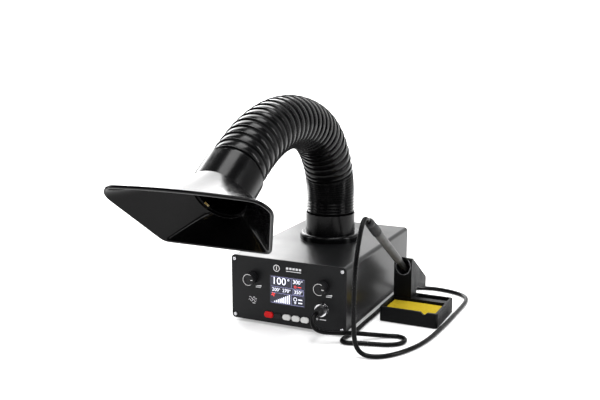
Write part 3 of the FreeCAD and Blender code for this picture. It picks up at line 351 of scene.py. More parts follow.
def outline_plate(name, points, depth):
    """Thin plate in the panel's plane. Points are (x, z), and the plate stands out towards -Y by depth."""
    bm = bmesh.new()
    front = [bm.verts.new((x, -depth, z)) for x, z in points]
    back = [bm.verts.new((x, 0.0, z)) for x, z in points]
    bm.faces.new(front)
    bm.faces.new(back[::-1])
    for i in range(len(points)):
        j = (i + 1) % len(points)
        bm.faces.new((front[i], back[i], back[j], front[j]))
    return from_bmesh(name, bm)


def rounded_box(width, height, radius, steps=5):
    """Outline of a rounded rectangle, centred, as (x, z) points."""
    points = []
    for quarter, (sx, sz) in enumerate(((1, 1), (-1, 1), (-1, -1), (1, -1))):
        x, z = sx * (width / 2 - radius), sz * (height / 2 - radius)
        for k in range(steps + 1):
            a = math.pi / 2 * (quarter + k / steps)
            points.append((x + radius * math.cos(a), z + radius * math.sin(a)))
    return points


def ring_plate(name, centre, outer, inner, depth, start=0.0, stop=360.0, count=48):
    """Flat ring, or part of one, in the panel's plane."""
    bm = bmesh.new()
    whole = stop - start == 360.0
    steps = count if whole else int(count * (stop - start) / 360.0)
    section = ((inner, 0.0), (inner, -depth), (outer, -depth), (outer, 0.0))
    rows = []
    for k in range(steps if whole else steps + 1):
        a = math.radians(start + (stop - start) * k / steps)
        rows.append([bm.verts.new((r * math.cos(a), y, r * math.sin(a))) for r, y in section])
    pairs = list(zip(rows, rows[1:])) + ([(rows[-1], rows[0])] if whole else [])
    for a, b in pairs:
        for i in range(4):
            j = (i + 1) % 4
            bm.faces.new((a[i], a[j], b[j], b[i]))
    if not whole:
        bm.faces.new(rows[0])
        bm.faces.new(rows[-1][::-1])
    mesh = from_bmesh(name, bm)
    mesh.transform(Matrix.Translation(centre))
    return mesh


def bar(name, centre, width, height, depth, radius=0.0):
    """Small flat bar in the panel's plane."""
    x, z = width / 2, height / 2
    points = rounded_box(width, height, radius) if radius else [(-x, -z), (x, -z), (x, z), (-x, z)]
    mesh = outline_plate(name, points, depth)
    mesh.transform(Matrix.Translation(centre))
    return mesh


CAPITAL_SHARE = 0.72    # height of a figure over the size of its type


def figures(name, words, centre, height, depth):
    """Numbers as a thin mesh in the panel's plane, centred on a point."""
    curve = bpy.data.curves.new(name, "FONT")
    curve.body = words
    curve.size = height / CAPITAL_SHARE
    curve.align_x, curve.align_y = "CENTER", "CENTER"
    curve.extrude = depth / 2
    curve.resolution_u = 3
    held = bpy.data.objects.new(name, curve)
    bpy.context.scene.collection.objects.link(held)
    bpy.context.view_layer.update()
    mesh = bpy.data.meshes.new_from_object(held)
    bpy.data.objects.remove(held)
    bpy.data.curves.remove(curve)
    mesh.transform(Matrix.Translation(centre) @ Matrix.Rotation(math.pi / 2, 4, "X"))
    return mesh


def joined(name, meshes):
    """One mesh from several."""
    bm = bmesh.new()
    for mesh in meshes:
        bm.from_mesh(mesh)
        bpy.data.meshes.remove(mesh)
    made = bpy.data.meshes.new(name)
    bm.to_mesh(made)
    bm.free()
    return made


def dress(finish, *names, smooth=35.0):
    """Gives a finish to nodes that keep their own shape."""
    for name in names:
        node = NODES[name]
        node.data.materials.clear()
        node.data.materials.append(finish.material)
        node.data.polygons.foreach_set("material_index", [0] * len(node.data.polygons))
        shade(node.data, smooth)


# ------------------------------------------------------------------ settings
def length_property(name, description, default):
    return FloatProperty(name=name, description=description, default=default, min=0.0,
                         subtype="DISTANCE", unit="LENGTH", precision=5)


def angle_property(name, description, degrees):
    return FloatProperty(name=name, description=description, default=math.radians(degrees), subtype="ANGLE")


def colour_property(name, description, default):
    return FloatVectorProperty(name=name, description=description, default=default, size=3,
                               min=0.0, max=1.0, subtype="COLOR")


class StationStage(bpy.types.PropertyGroup):
    floor_colour: colour_property("Floor", "Colour of the floor and backdrop", (0.62, 0.62, 0.62))
    camera_distance: length_property("Camera distance", "Camera to the point it looks at", 1.437)
    camera_side: angle_property("Camera azimuth", "Turn of the camera to the right of the panel", 25.03)
    camera_pitch: angle_property("Camera pitch", "How far the camera looks down", 11.41)


class StationCase(bpy.types.PropertyGroup):
    case_colour: colour_property("Case", "Powder coat on the cover and base", (0.0035, 0.0036, 0.0040))
    panel_colour: colour_property("Panel", "Painted front and rear panels", (0.0050, 0.0052, 0.0060))
    print_colour: colour_property("Print", "Ink of the marks on the panel", (0.82, 0.82, 0.84))
    screen_colour: colour_property("Screen", "Ground of the display", (0.003, 0.004, 0.014))
    line_colour: colour_property("Screen lines", "Frame lines on the display", (0.36, 0.36, 0.66))


class StationHose(bpy.types.PropertyGroup):
    plastic_colour: colour_property("Plastic", "Gloss black of the hose and hood", (0.0016, 0.0016, 0.0018))
    radius: length_property("Radius", "Radius over the hose's crests", 0.0405)
    packed_pitch: length_property("Packed pitch", "Crest to crest where it is pushed together", 0.0049)
    drawn_pitch: length_property("Drawn pitch", "Crest to crest where it is pulled out", 0.0150)
    packed_length: length_property("Packed length", "Length above the collar that is pushed together", 0.060)
    crest_height: length_property("Crest", "Height of a crest over the groove beside it", 0.0021)
    wall: length_property("Wall", "Wall of the hose", 0.0012)


class StationHood(bpy.types.PropertyGroup):
    wall: length_property("Wall", "Wall of the hood", 0.0022)
    bow: length_property("Bow", "Rise in the middle of the mouth's top edge", 0.0070)
    lip: length_property("Lip", "Rolled lip beyond the mouth's edge", 0.0015)


class StationStand(bpy.types.PropertyGroup):
    stand_colour: colour_property("Stand", "Textured black plastic of the stand", (0.0028, 0.0029, 0.0032))
    sponge_colour: colour_property("Sponge", "Cellulose sponge", (0.40, 0.30, 0.008))
    grip_colour: colour_property("Grip", "Soft grip of the iron", (0.050, 0.049, 0.048))


class StationCord(bpy.types.PropertyGroup):
    cord_colour: colour_property("Cord", "Silicone jacket of the iron's cord", (0.0018, 0.0018, 0.0020))
    diameter: length_property("Diameter", "Diameter of the cord", 0.007)
    length: length_property("Length", "Real length of the cord, plug to iron", 1.265)


# ------------------------------------------------------------------ stage
SWEEP_HALF = 9.0        # half the backdrop's width
SWEEP_FLOOR = (-6.0, -3.95, -1.9, 0.15)    # the flat floor's rows, front to back
SWEEP_START, SWEEP_R = 2.2, 1.2            # where the floor starts to rise, and its radius
SWEEP_STEPS = 20
SWEEP_TOP = (3.4, 6.0)
VIEW_POINT = Vector((-0.0566, 0.0212, 0.1688))
# Name, place, the point it faces, its width and height, and its power in watts.
LAMPS = (
    ("overhead", (0.2, -0.1, 2.4), (0.1, -0.1, 0.0), (1.8, 1.0), 55.0),
    ("high_rear", (-0.95, 1.10, 1.55), (0.0, -0.4, 0.25), (1.5, 0.9), 30.0),
    ("left_rear", (-1.85, 1.40, 1.08), (0.0, -0.4, 0.27), (2.2, 0.7), 44.0),
    ("behind", (-1.4, 1.8, 1.3), (-1.2, 2.6, 0.2), (4.0, 1.2), 120.0),
    ("left_wall", (-1.7, -0.75, 0.75), (0.0, -0.1, 0.15), (0.25, 1.3), 10.0),
    ("right_wall", (1.6, 0.1, 0.9), (0.1, -0.1, 0.1), (0.25, 1.2), 14.0),
    ("front_fill", (0.2, -2.4, 1.2), (0.0, -0.1, 0.10), (0.7, 0.4), 8.0),
    ("floor_wash", (0.3, -1.2, 2.2), (0.3, -1.0, 0.0), (3.0, 1.2), 36.0),
)


class STATION_OT_stage(bpy.types.Operator):
    """Floor, backdrop, lights and camera"""

    bl_idname = "station.stage"
    bl_label = "Stage"

    def execute(self, context):
        look = context.scene.station_stage
        self.backdrop(look)
        world = bpy.data.worlds.new("studio")
        world.use_nodes = True
        sky = world.node_tree.nodes["Background"].inputs
        sky["Color"].default_value, sky["Strength"].default_value = (0.95, 0.97, 1.0, 1.0), 0.10
        context.scene.world = world
        for lamp in LAMPS:
            self.lamp(*lamp)
        camera = bpy.data.cameras.new("camera")
        camera.lens, camera.sensor_width = 50.0, 36.0
        holder = bpy.data.objects.new("camera", camera)
        context.scene.collection.objects.link(holder)
        side, pitch = look.camera_side, look.camera_pitch
        back = Vector((math.sin(side) * math.cos(pitch), -math.cos(side) * math.cos(pitch), math.sin(pitch)))
        holder.location = VIEW_POINT + back * look.camera_distance
        self.face(holder, -back)
        context.scene.camera = holder
        context.scene.view_settings.view_transform = "Standard"
        return {"FINISHED"}

    def backdrop(self, look):
        """Pale paper that runs back along the floor and sweeps up behind the station."""
        colour = tuple(look.floor_colour)
        paper = Finish("floor_paper", colour, 0.75, specular_ior_level=0.15)
        paper.set("Base Color", paper.mix(paper.grain(1.2, 3.0), colour, tuple(c * 1.02 for c in colour)))
        paper.set("Emission Color", (1.0, 1.0, 1.0, 1.0)).set("Emission Strength", 0.35)
        line = [(y, 0.0) for y in SWEEP_FLOOR]
        for k in range(SWEEP_STEPS + 1):
            a = math.radians(90.0 * k / SWEEP_STEPS)
            line.append((SWEEP_START + SWEEP_R * math.sin(a), SWEEP_R * (1 - math.cos(a))))
        line.append(SWEEP_TOP)
        bm = bmesh.new()
        rows = [[bm.verts.new((x, y, z)) for x in (-SWEEP_HALF, SWEEP_HALF)] for y, z in line]
        for a, b in zip(rows, rows[1:]):
            bm.faces.new((a[0], a[1], b[1], b[0]))
        mesh = bpy.data.meshes.new("sweep")
        bm.to_mesh(mesh)
        bm.free()
        finished("backdrop", mesh, paper, None)

    def face(self, holder, direction):
        """Turns a lamp or the camera to look along a direction."""
        holder.rotation_mode = "QUATERNION"
        holder.rotation_quaternion = direction.to_track_quat("-Z", "Y")

    def lamp(self, name, place, target, size, power):
        """Soft rectangular light that faces a point."""
        light = bpy.data.lights.new(name, "AREA")
        light.shape = "RECTANGLE"
        light.size, light.size_y = size
        light.energy = power
        holder = bpy.data.objects.new(name, light)
        bpy.context.scene.collection.objects.link(holder)
        holder.location = place
        self.face(holder, Vector(target) - Vector(place))


# ------------------------------------------------------------------ cord
TABLE_Z = 0.00355    # cord's centre where it lies on the table
CORD_ROUTE = [
    (0.0600, -0.1704, 0.0408), (0.0600, -0.1810, 0.0408), (0.0605, -0.1885, 0.0330),
    (0.0655, -0.1890, 0.0235), (0.0760, -0.1830, 0.0182), (0.0910, -0.1725, 0.0162),
    (0.1070, -0.1610, 0.0146), (0.1230, -0.1475, 0.0114), (0.1390, -0.1320, 0.0068),
    (0.1550, -0.1195, TABLE_Z), (0.1700, -0.1140, TABLE_Z), (0.1815, -0.1185, TABLE_Z),
    (0.1860, -0.1310, TABLE_Z), (0.1810, -0.1455, TABLE_Z), (0.1660, -0.1555, TABLE_Z),
    (0.1450, -0.1610, TABLE_Z), (0.1260, -0.1660, TABLE_Z), (0.1110, -0.1730, TABLE_Z),
    (0.1005, -0.1705, TABLE_Z), (0.0985, -0.1580, TABLE_Z), (0.1020, -0.1410, TABLE_Z),
    (0.1040, -0.1160, TABLE_Z), (0.1034, -0.0800, TABLE_Z), (0.1040, -0.0380, TABLE_Z),
    (0.1034, 0.0060, TABLE_Z), (0.1042, 0.0480, TABLE_Z), (0.1040, 0.0840, TABLE_Z),
    (0.1090, 0.1120, TABLE_Z), (0.1230, 0.1310, TABLE_Z), (0.1460, 0.1395, TABLE_Z),
    (0.1720, 0.1385, TABLE_Z), (0.1960, 0.1315, TABLE_Z), (0.2140, 0.1185, TABLE_Z),
    (0.2215, 0.0970, TABLE_Z), (0.2223, 0.0640, TABLE_Z), (0.2216, 0.0280, TABLE_Z),
    (0.2213, -0.0100, TABLE_Z), (0.2196, -0.0480, TABLE_Z), (0.2174, -0.0840, TABLE_Z),
    (0.2135, -0.1180, TABLE_Z), (0.2060, -0.1480, TABLE_Z), (0.1945, -0.1750, TABLE_Z),
    (0.1795, -0.1975, TABLE_Z), (0.1625, -0.2075, TABLE_Z), (0.1485, -0.2100, 0.0055),
    (0.1392, -0.2115, 0.0155), (0.1360, -0.2120, 0.0340), (0.1354, -0.2118, 0.0620),
    (0.1354, -0.2110, 0.0940), (0.1354, -0.2083, 0.1240), (0.1354, -0.2020, 0.1500),
    (0.1354, -0.1925, 0.1715), (0.1354, -0.1840, 0.1855), (0.1354, -0.1765, 0.1935),
    (0.1355, -0.1665, 0.1926), (0.1355, -0.1573, 0.1865),
]


class STATION_OT_cord(bpy.types.Operator):
    """The iron's cord, from its plug over the table into the iron"""

    bl_idname = "station.cord"
    bl_label = "Iron cord"

    def execute(self, context):
        look = context.scene.station_cord
        jacket = Finish("cord_jacket", tuple(look.cord_colour), 0.30, specular_ior_level=0.10)
        jacket.bump(jacket.grain(220.0, 3.0) + jacket.grain(3000.0, 1.0) * 0.1, 0.00008)
        jacket.worn(0.14, 60.0)
        curve = bpy.data.curves.new("iron_cord_line", "CURVE")
        curve.dimensions = "3D"
        spline = curve.splines.new("NURBS")
        spline.points.add(len(CORD_ROUTE) - 1)
        for point, place in zip(spline.points, CORD_ROUTE):
            point.co = (*place, 1.0)
        spline.order_u = 3
        spline.use_endpoint_u = True
        spline.resolution_u = 8
        curve.bevel_depth = look.diameter / 2
        curve.bevel_resolution = 6
        curve.use_fill_caps = True
        curve.materials.append(jacket.material)
        cord = bpy.data.objects.new("cord_of_iron", curve)
        context.scene.collection.objects.link(cord)
        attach(cord, "station")
        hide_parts("iron_cord")
        return {"FINISHED"}


# ------------------------------------------------------------------ hose
HOSE_SEAT = 0.012
HOSE_STRAIGHT = 0.023
HOSE_ARCS = ((0.139, 69.5), (0.242, 47.5), (0.600, 5.0))
HOSE_TUCK = 0.020
BENDS = {"lower_bend": (0.020, 0.066), "middle_bend": (0.146, 0.196), "upper_bend": (0.320, 0.372)}
HOSE_END = HOSE_STRAIGHT + sum(r * math.radians(d) for r, d in HOSE_ARCS)
FIRST_CREST = 0.0035    # above the collar's top
PITCH_CHANGE = 0.020    # length over which the pitch grows from packed to drawn
BEAD, BEAD_SHARE = 0.0012, 0.24    # half width of a crest, and its most as a share of the pitch
CREST_CLEAR = 0.00006   # crests stay this far inside the hose's outside
OPEN_GAP = 0.008        # a wider pitch shows the web between two crests
# Points of one crest, and of the web to the next: along in beads or pitches, down in crest heights.
CREST_POINTS = ((-0.6, 0.35), (-0.2, None), (0.25, None), (0.7, 0.4), (1.25, 1.0))
WEB_POINTS = ((0.22, 0.80), (0.5, 0.62), (0.78, 0.62))


def hose_at(run):
    """Point on the hose's centre line and its turn from upright, at a length above the collar's top."""
    point = Vector((0.0, (COLLAR_LOW.y + COLLAR_HIGH.y) / 2, COLLAR_HIGH.z + min(run, HOSE_STRAIGHT)))
    left, turn = run - HOSE_STRAIGHT, 0.0
    for radius, degrees in HOSE_ARCS:
        if left <= 0:
            return point, turn
        part = min(left / radius, math.radians(degrees))
        ahead = radius * (math.cos(turn) - math.cos(turn + part))
        rise = radius * (math.sin(turn + part) - math.sin(turn))
        point = point + Vector((0.0, -ahead, rise))
        turn, left = turn + part, left - radius * part
    return point + Vector((0.0, -math.sin(turn), math.cos(turn))) * max(left, 0.0), turn


def hose_ring(run, radius, count):
    """Ring square to the hose at a length above the collar's top."""
    centre, turn = hose_at(run)
    across, up = Vector((1.0, 0.0, 0.0)), Vector((0.0, -math.cos(turn), -math.sin(turn)))
    return circle(centre, across, up, radius, count)


class STATION_OT_hose(bpy.types.Operator):
    """The corrugated hose, in three lengths, each cut round one of the hose's bends"""

    bl_idname = "station.hose"
    bl_label = "Hose"
    count = 88    # points round the hose

    def crests(self, look):
        """Where the crests are: close together above the collar, then further and further apart."""
        runs, run = [], FIRST_CREST
        while run < HOSE_END + HOSE_TUCK:
            runs.append(run)
            share = min(1.0, max(0.0, (run - look.packed_length) / PITCH_CHANGE))
            run += look.packed_pitch + (look.drawn_pitch - look.packed_pitch) * share
        return runs

    def profile(self, look):
        """(length along the hose, outside radius) through every crest and groove."""
        crests = self.crests(look)
        top, high = look.radius, look.crest_height
        points = [(-HOSE_SEAT, top - high), (0.0006, top - high)]
        for here, after in zip(crests, crests[1:] + [crests[-1] + look.drawn_pitch]):
            gap = after - here
            bead = min(BEAD, gap * BEAD_SHARE)
            for along, down in CREST_POINTS:
                points.append((here + bead * along, top - (CREST_CLEAR if down is None else high * down)))
            if gap > OPEN_GAP:
                points += [(here + gap * along, top - high * down) for along, down in WEB_POINTS]
                points.append((here + gap - bead * 1.5, top - high * 0.95))
            else:
                points += [(here + gap * 0.5, top - high * 1.15)]
        end = HOSE_END + HOSE_TUCK
        points = [p for p in points if p[0] < end - 0.0004]
        return points + [(end, top - high)]

    def execute(self, context):
        look = context.scene.station_hose
        plastic = moulded("hose_plastic", tuple(look.plastic_colour), 0.22)
        profile = self.profile(look)
        cuts = (-HOSE_SEAT, (BENDS["lower_bend"][1] + BENDS["middle_bend"][0]) / 2,
                (BENDS["middle_bend"][1] + BENDS["upper_bend"][0]) / 2, HOSE_END + HOSE_TUCK)
        pieces = (("hose_lower_length", "lower_bend", ("hose_foot", "hose_bend_1", "hose_rise")),
                  ("hose_middle_length", "middle_bend", ("hose_bend_2", "hose_crown")),
                  ("hose_upper_length", "upper_bend", ("hose_bend_3", "hose_end")))
        for (name, bend, stood_for), low, high in zip(pieces, cuts, cuts[1:]):
            inside = [(low, self.radius_at(profile, low))] + [p for p in profile if low < p[0] < high]
            inside.append((high, self.radius_at(profile, high)))
            rings = [hose_ring(run, radius, self.count) for run, radius in inside]
            rings += [hose_ring(run, radius - look.wall, self.count) for run, radius in reversed(inside)]
            piece = finished(name, skin(name, rings, loop=True), plastic, None, 60.0)
            start, end = [hose_at(run)[0] for run in BENDS[bend]]
            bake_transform(piece)
            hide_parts(*stood_for)
        dress(plastic, "duct_collar", "duct_flange", "hood_collar")
        return {"FINISHED"}

    def radius_at(self, profile, run):
        """Outside radius between two points of the profile."""
        for (a, ra), (b, rb) in zip(profile, profile[1:]):
            if a <= run <= b:
                return ra + (rb - ra) * (run - a) / (b - a)
        return profile[-1][1]


# ------------------------------------------------------------------ hood
HOOD_NECK_R = 0.0394
HOOD_BORE_R = 0.0364
THROAT_START, THROAT_END = 0.031, 0.041
HOOD_COLLAR_R = 0.0430
HOOD_COLLAR_L = 0.045
MOUTH_TOP_W, MOUTH_BOTTOM_W, MOUTH_H = 0.251, 0.158, 0.1175
MOUTH_TOP_R, MOUTH_BOTTOM_R = 0.020, 0.012
MOUTH_AHEAD, MOUTH_RISE, MOUTH_TILT = 0.1016, 0.0077, math.radians(13.0)
NECK, NECK_TURN = hose_at(HOSE_END)
AHEAD = Vector((0.0, -math.sin(NECK_TURN), math.cos(NECK_TURN)))
ACROSS = Vector((0.0, AHEAD.z, -AHEAD.y))
MOUTH_AXIS = AHEAD * math.cos(MOUTH_TILT) - ACROSS * math.sin(MOUTH_TILT)
MOUTH_UP = Vector((0.0, MOUTH_AXIS.z, -MOUTH_AXIS.y))
MOUTH_CENTRE = NECK + AHEAD * MOUTH_AHEAD + ACROSS * MOUTH_RISE
MOUTH_SLOPE = (MOUTH_TOP_W - MOUTH_BOTTOM_W) / 2 / MOUTH_H
RIGHT = Vector((1, 0, 0))
CORNER_STEPS = 12
# The rolled lip from outside to inside: ahead of the mouth's plane, and out as a share of the lip's size.
LIP = ((-0.0030, 0.1), (-0.0030, 0.7), (-0.0022, 1.0), (-0.0004, 1.05), (0.0008, 0.8), (0.0013, 0.2),
       (0.0012, -0.6))
LIP_INSIDE = 0.0003
# Degrees round the neck where the mouth's corners run to: lower right, upper right, and so on.
CORNER_TURNS = (-50.0, 37.5, 142.5, 230.0, 310.0)
SPIGOT_WALL = 0.00245   # from the collar's radius in to the shell's spigot
THROAT_STEPS = 0.0008, 0.0012    # the throat's shoulder, in from the neck
EDGE_BREAK = 0.0004


def mouth_outline(grow):
    """The mouth's rounded trapezoid, grown by a distance, as (x, up) points from the lower right."""
    side = grow * math.sqrt(1 + MOUTH_SLOPE * MOUTH_SLOPE)
    low, high = -MOUTH_H / 2 - grow, MOUTH_H / 2 + grow
    half_low, half_high = [(MOUTH_TOP_W + MOUTH_BOTTOM_W) / 4 + MOUTH_SLOPE * v + side for v in (low, high)]
    corners = [Vector(p) for p in ((half_low, low), (half_high, high), (-half_high, high), (-half_low, low))]
    radii = [MOUTH_BOTTOM_R + grow, MOUTH_TOP_R + grow, MOUTH_TOP_R + grow, MOUTH_BOTTOM_R + grow]
    line = []
    for i, (corner, radius) in enumerate(zip(corners, radii)):
        a, b = (corners[i - 1] - corner).normalized(), (corners[(i + 1) % 4] - corner).normalized()
        half_angle = a.angle(b) / 2
        reach = radius / math.tan(half_angle)
        middle = corner + (a + b).normalized() * (radius / math.sin(half_angle))
        first, last = corner + a * reach - middle, corner + b * reach - middle
        line += [middle + first.slerp(last, k / CORNER_STEPS) * radius for k in range(CORNER_STEPS + 1)]
    return line


def mouth_ring(grow, bow, count):
    """Evenly spaced points round the mouth as (x, up) pairs. Bow lifts the middle of the top edge."""
    line = mouth_outline(grow)
    spans = list(zip(line, line[1:] + line[:1]))
    step = sum((q - p).length for p, q in spans) / count
    points, walked, target = [], 0.0, 0.0
    for p, q in spans:
        span = (q - p).length
        while target <= walked + span and len(points) < count:
            points.append(p.lerp(q, (target - walked) / max(span, 1e-12)))
            target += step
        walked += span
    lifted = []
    for p in points:
        share = max(0.0, 1 - (p.x / (MOUTH_TOP_W / 2)) ** 2)
        edge = max(0.0, p.y / (MOUTH_H / 2)) ** 3
        lifted.append(Vector((p.x, p.y + bow * share * edge)))
    return lifted


class STATION_OT_hood(bpy.types.Operator):
    """The flared hood with its rolled lip, the light strip in it and the strip's brass contact"""

    bl_idname = "station.hood"
    bl_label = "Hood"
    count = 160    # points round the mouth
    steps = 16     # rings from the neck to the mouth

    def section(self, share, grow, bow, neck_radius):
        """Ring between the neck, share 0, and the mouth, share 1. The walls are straight between the two."""
        neck = self.turned(HOOD_COLLAR_L, neck_radius)
        return [a.lerp(b, share) for a, b in zip(neck, self.edge(0.0, grow, bow))]

    def edge(self, ahead, grow, bow):
        """Ring round the mouth, ahead of its plane and grown by a distance."""
        centre = MOUTH_CENTRE + MOUTH_AXIS * ahead
        return [centre + RIGHT * p.x + MOUTH_UP * p.y for p in mouth_ring(grow, bow, self.count)]

    def turned(self, along, radius):
        """Round ring on the collar's axis, with its points spread as the mouth's are."""
        centre = NECK + AHEAD * along
        return [centre + RIGHT * (radius * math.cos(a)) + ACROSS * (radius * math.sin(a))
                for a in self.angles]

    def spread(self):
        """Angle on the neck of each point of the mouth, so that corners run straight between the two."""
        lower = math.degrees(math.atan2(-MOUTH_H / 2, MOUTH_BOTTOM_W / 2))
        upper = math.degrees(math.atan2(MOUTH_H / 2, MOUTH_TOP_W / 2))
        corners = (lower, upper, 180.0 - upper, 180.0 - lower, 360.0 + lower)
        stops = list(zip(corners, CORNER_TURNS))
        self.angles = []
        for point in mouth_ring(0.0, 0.0, self.count):
            mark = (math.degrees(math.atan2(point.y, point.x)) - lower) % 360.0 + lower
            for (a, x), (b, y) in zip(stops, stops[1:]):
                if a <= mark <= b:
                    self.angles.append(math.radians(x + (y - x) * (mark - a) / (b - a)))
                    break

    def execute(self, context):
        look = context.scene.station_hood
        self.spread()
        plastic = moulded("hood_plastic", tuple(context.scene.station_hose.plastic_colour), 0.15)
        outer = [self.section(k / self.steps, 0.0, look.bow, HOOD_COLLAR_R) for k in range(self.steps)]
        lip = [self.edge(ahead, look.lip * share, look.bow) for ahead, share in LIP]
        lip.append(self.edge(LIP_INSIDE, -look.wall, look.bow))
        inner = [self.section(k / self.steps, -look.wall, look.bow, HOOD_NECK_R)
                 for k in range(self.steps - 1, -1, -1)]
        spigot_r = HOOD_COLLAR_R - SPIGOT_WALL
        first, second = [HOOD_NECK_R - step for step in THROAT_STEPS]
        throat = ((HOOD_COLLAR_L - EDGE_BREAK / 2, first), (THROAT_END + EDGE_BREAK, first),
                  (THROAT_END, second), (THROAT_END, HOOD_BORE_R + EDGE_BREAK),
                  (THROAT_END - EDGE_BREAK, HOOD_BORE_R), (THROAT_START, HOOD_BORE_R),
                  (THROAT_START, spigot_r), (HOOD_COLLAR_L - EDGE_BREAK, spigot_r))
        tucked = [self.turned(along, radius) for along, radius in throat]
        mesh = skin("flared_hood", outer + lip + inner + tucked, loop=True)
        hood = finished("flared_hood", mesh, plastic, "hood", 32.0)
        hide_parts("hood_shell")
        strip = Finish("lamp_strip", (0.80, 0.62, 0.28), 0.3, specular_ior_level=0.5)
        bands = (strip.axis("X") * 900.0).math("SINE").between(-0.2, 0.4)
        strip.set("Base Color", strip.mix(bands, (0.62, 0.42, 0.14), (0.95, 0.78, 0.42)))
        strip.bump(strip.grain(900.0), 0.0001)
        dress(strip, "hood_lamp")
        return {"FINISHED"}


# ------------------------------------------------------------------ case and panel
PRINT_DEPTH = 0.00006      # thickness of printed ink
TICK_DEPTH = 0.00008
SCREEN_DEPTH = 0.00005     # thickness of what the display shows
SCREEN_EDGE = 0.0012       # dark border of the display
SCREEN_LINE = 0.0003
MARK_X, MARK_Z = -0.0184, 0.0952
DIAL_X = 0.0600
RINGED = 48                # steps of a full ring
KNURLS = 36
TOOTH = ((-0.0003, 0.0), (0.0003, 0.0), (0.0, 0.0004))
FAN_BLADE = ((0.0006, 0.0004), (0.0016, 0.0018), (0.0029, 0.0018), (0.0032, 0.0006), (0.0020, -0.0002))
BOOT_LENGTH, BOOT_RIBS = 0.0090, 6


def middle_xz(node):
    """Middle of a node's box across the panel, and up."""
    low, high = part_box(node)
    return (low.x + high.x) / 2, (low.z + high.z) / 2


class STATION_OT_case(bpy.types.Operator):
    """Case, panels, screws, feet and what the case holds"""

    bl_idname = "station.case"
    bl_label = "Case"

    def execute(self, context):
        look = context.scene.station_case
        dress(powder_coat("case_coat", tuple(look.case_colour), 0.30), "case_cover", "case_base")
        dress(powder_coat("panel_coat", tuple(look.panel_colour), 0.42), "front_panel", "rear_panel")
        dress(metal("zinc_steel", (0.62, 0.62, 0.64), 0.28), "panel_screws", "feet_screws", "flange_screws",
              "socket_nut", "fan_knob_shaft", "temperature_knob_shaft")
        dress(rubbery("black_rubber", (0.012, 0.012, 0.012), 0.6), "rubber_feet", "duct_gasket")
        dress(circuit_board("board_green", (0.015, 0.10, 0.045)), "control_board", "power_board")
        dress(metal("brass", (0.70, 0.52, 0.22), 0.3), "board_pillars")
        dress(metal("aluminium", (0.72, 0.72, 0.74), 0.35), "blower_motor", "dial_controls")
        dress(layered_iron("transformer_core", (0.35, 0.34, 0.33)), "transformer")
        dress(moulded("capacitor_sleeve", (0.02, 0.03, 0.08), 0.3), "capacitors")
        dress(moulded("grey_plastic", (0.22, 0.22, 0.23), 0.45), "display_module", "button_switches",
              "blower_impeller")
        dress(leather_grain("blower_plastic", (0.016, 0.016, 0.017), 0.5), "blower_housing", "blower_cover")
        dress(leather_grain("inlet_plastic", (0.012, 0.012, 0.012), 0.42), "mains_inlet", "switch_frame")
        dress(pleated_paper("filter_paper", (0.72, 0.70, 0.62)), "exhaust_filter")
        dress(moulded("red_rocker", (0.45, 0.01, 0.01), 0.25), "rocker_switch")
        x, z = middle_xz("rocker_switch")
        x, y = x - 0.0155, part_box("switch_frame")[1].y - 0.0014
        tick = bar("on_tick", (x, y, z + 0.0035), 0.0008, 0.0035, TICK_DEPTH)
        ring = ring_plate("off_ring", (x, y, z - 0.0035), 0.0018, 0.0012, TICK_DEPTH)
        ink = printed("rear_ink", tuple(look.print_colour))
        finished("rear_marks", joined("rear_marks", [tick, ring]), ink, "station")
        return {"FINISHED"}


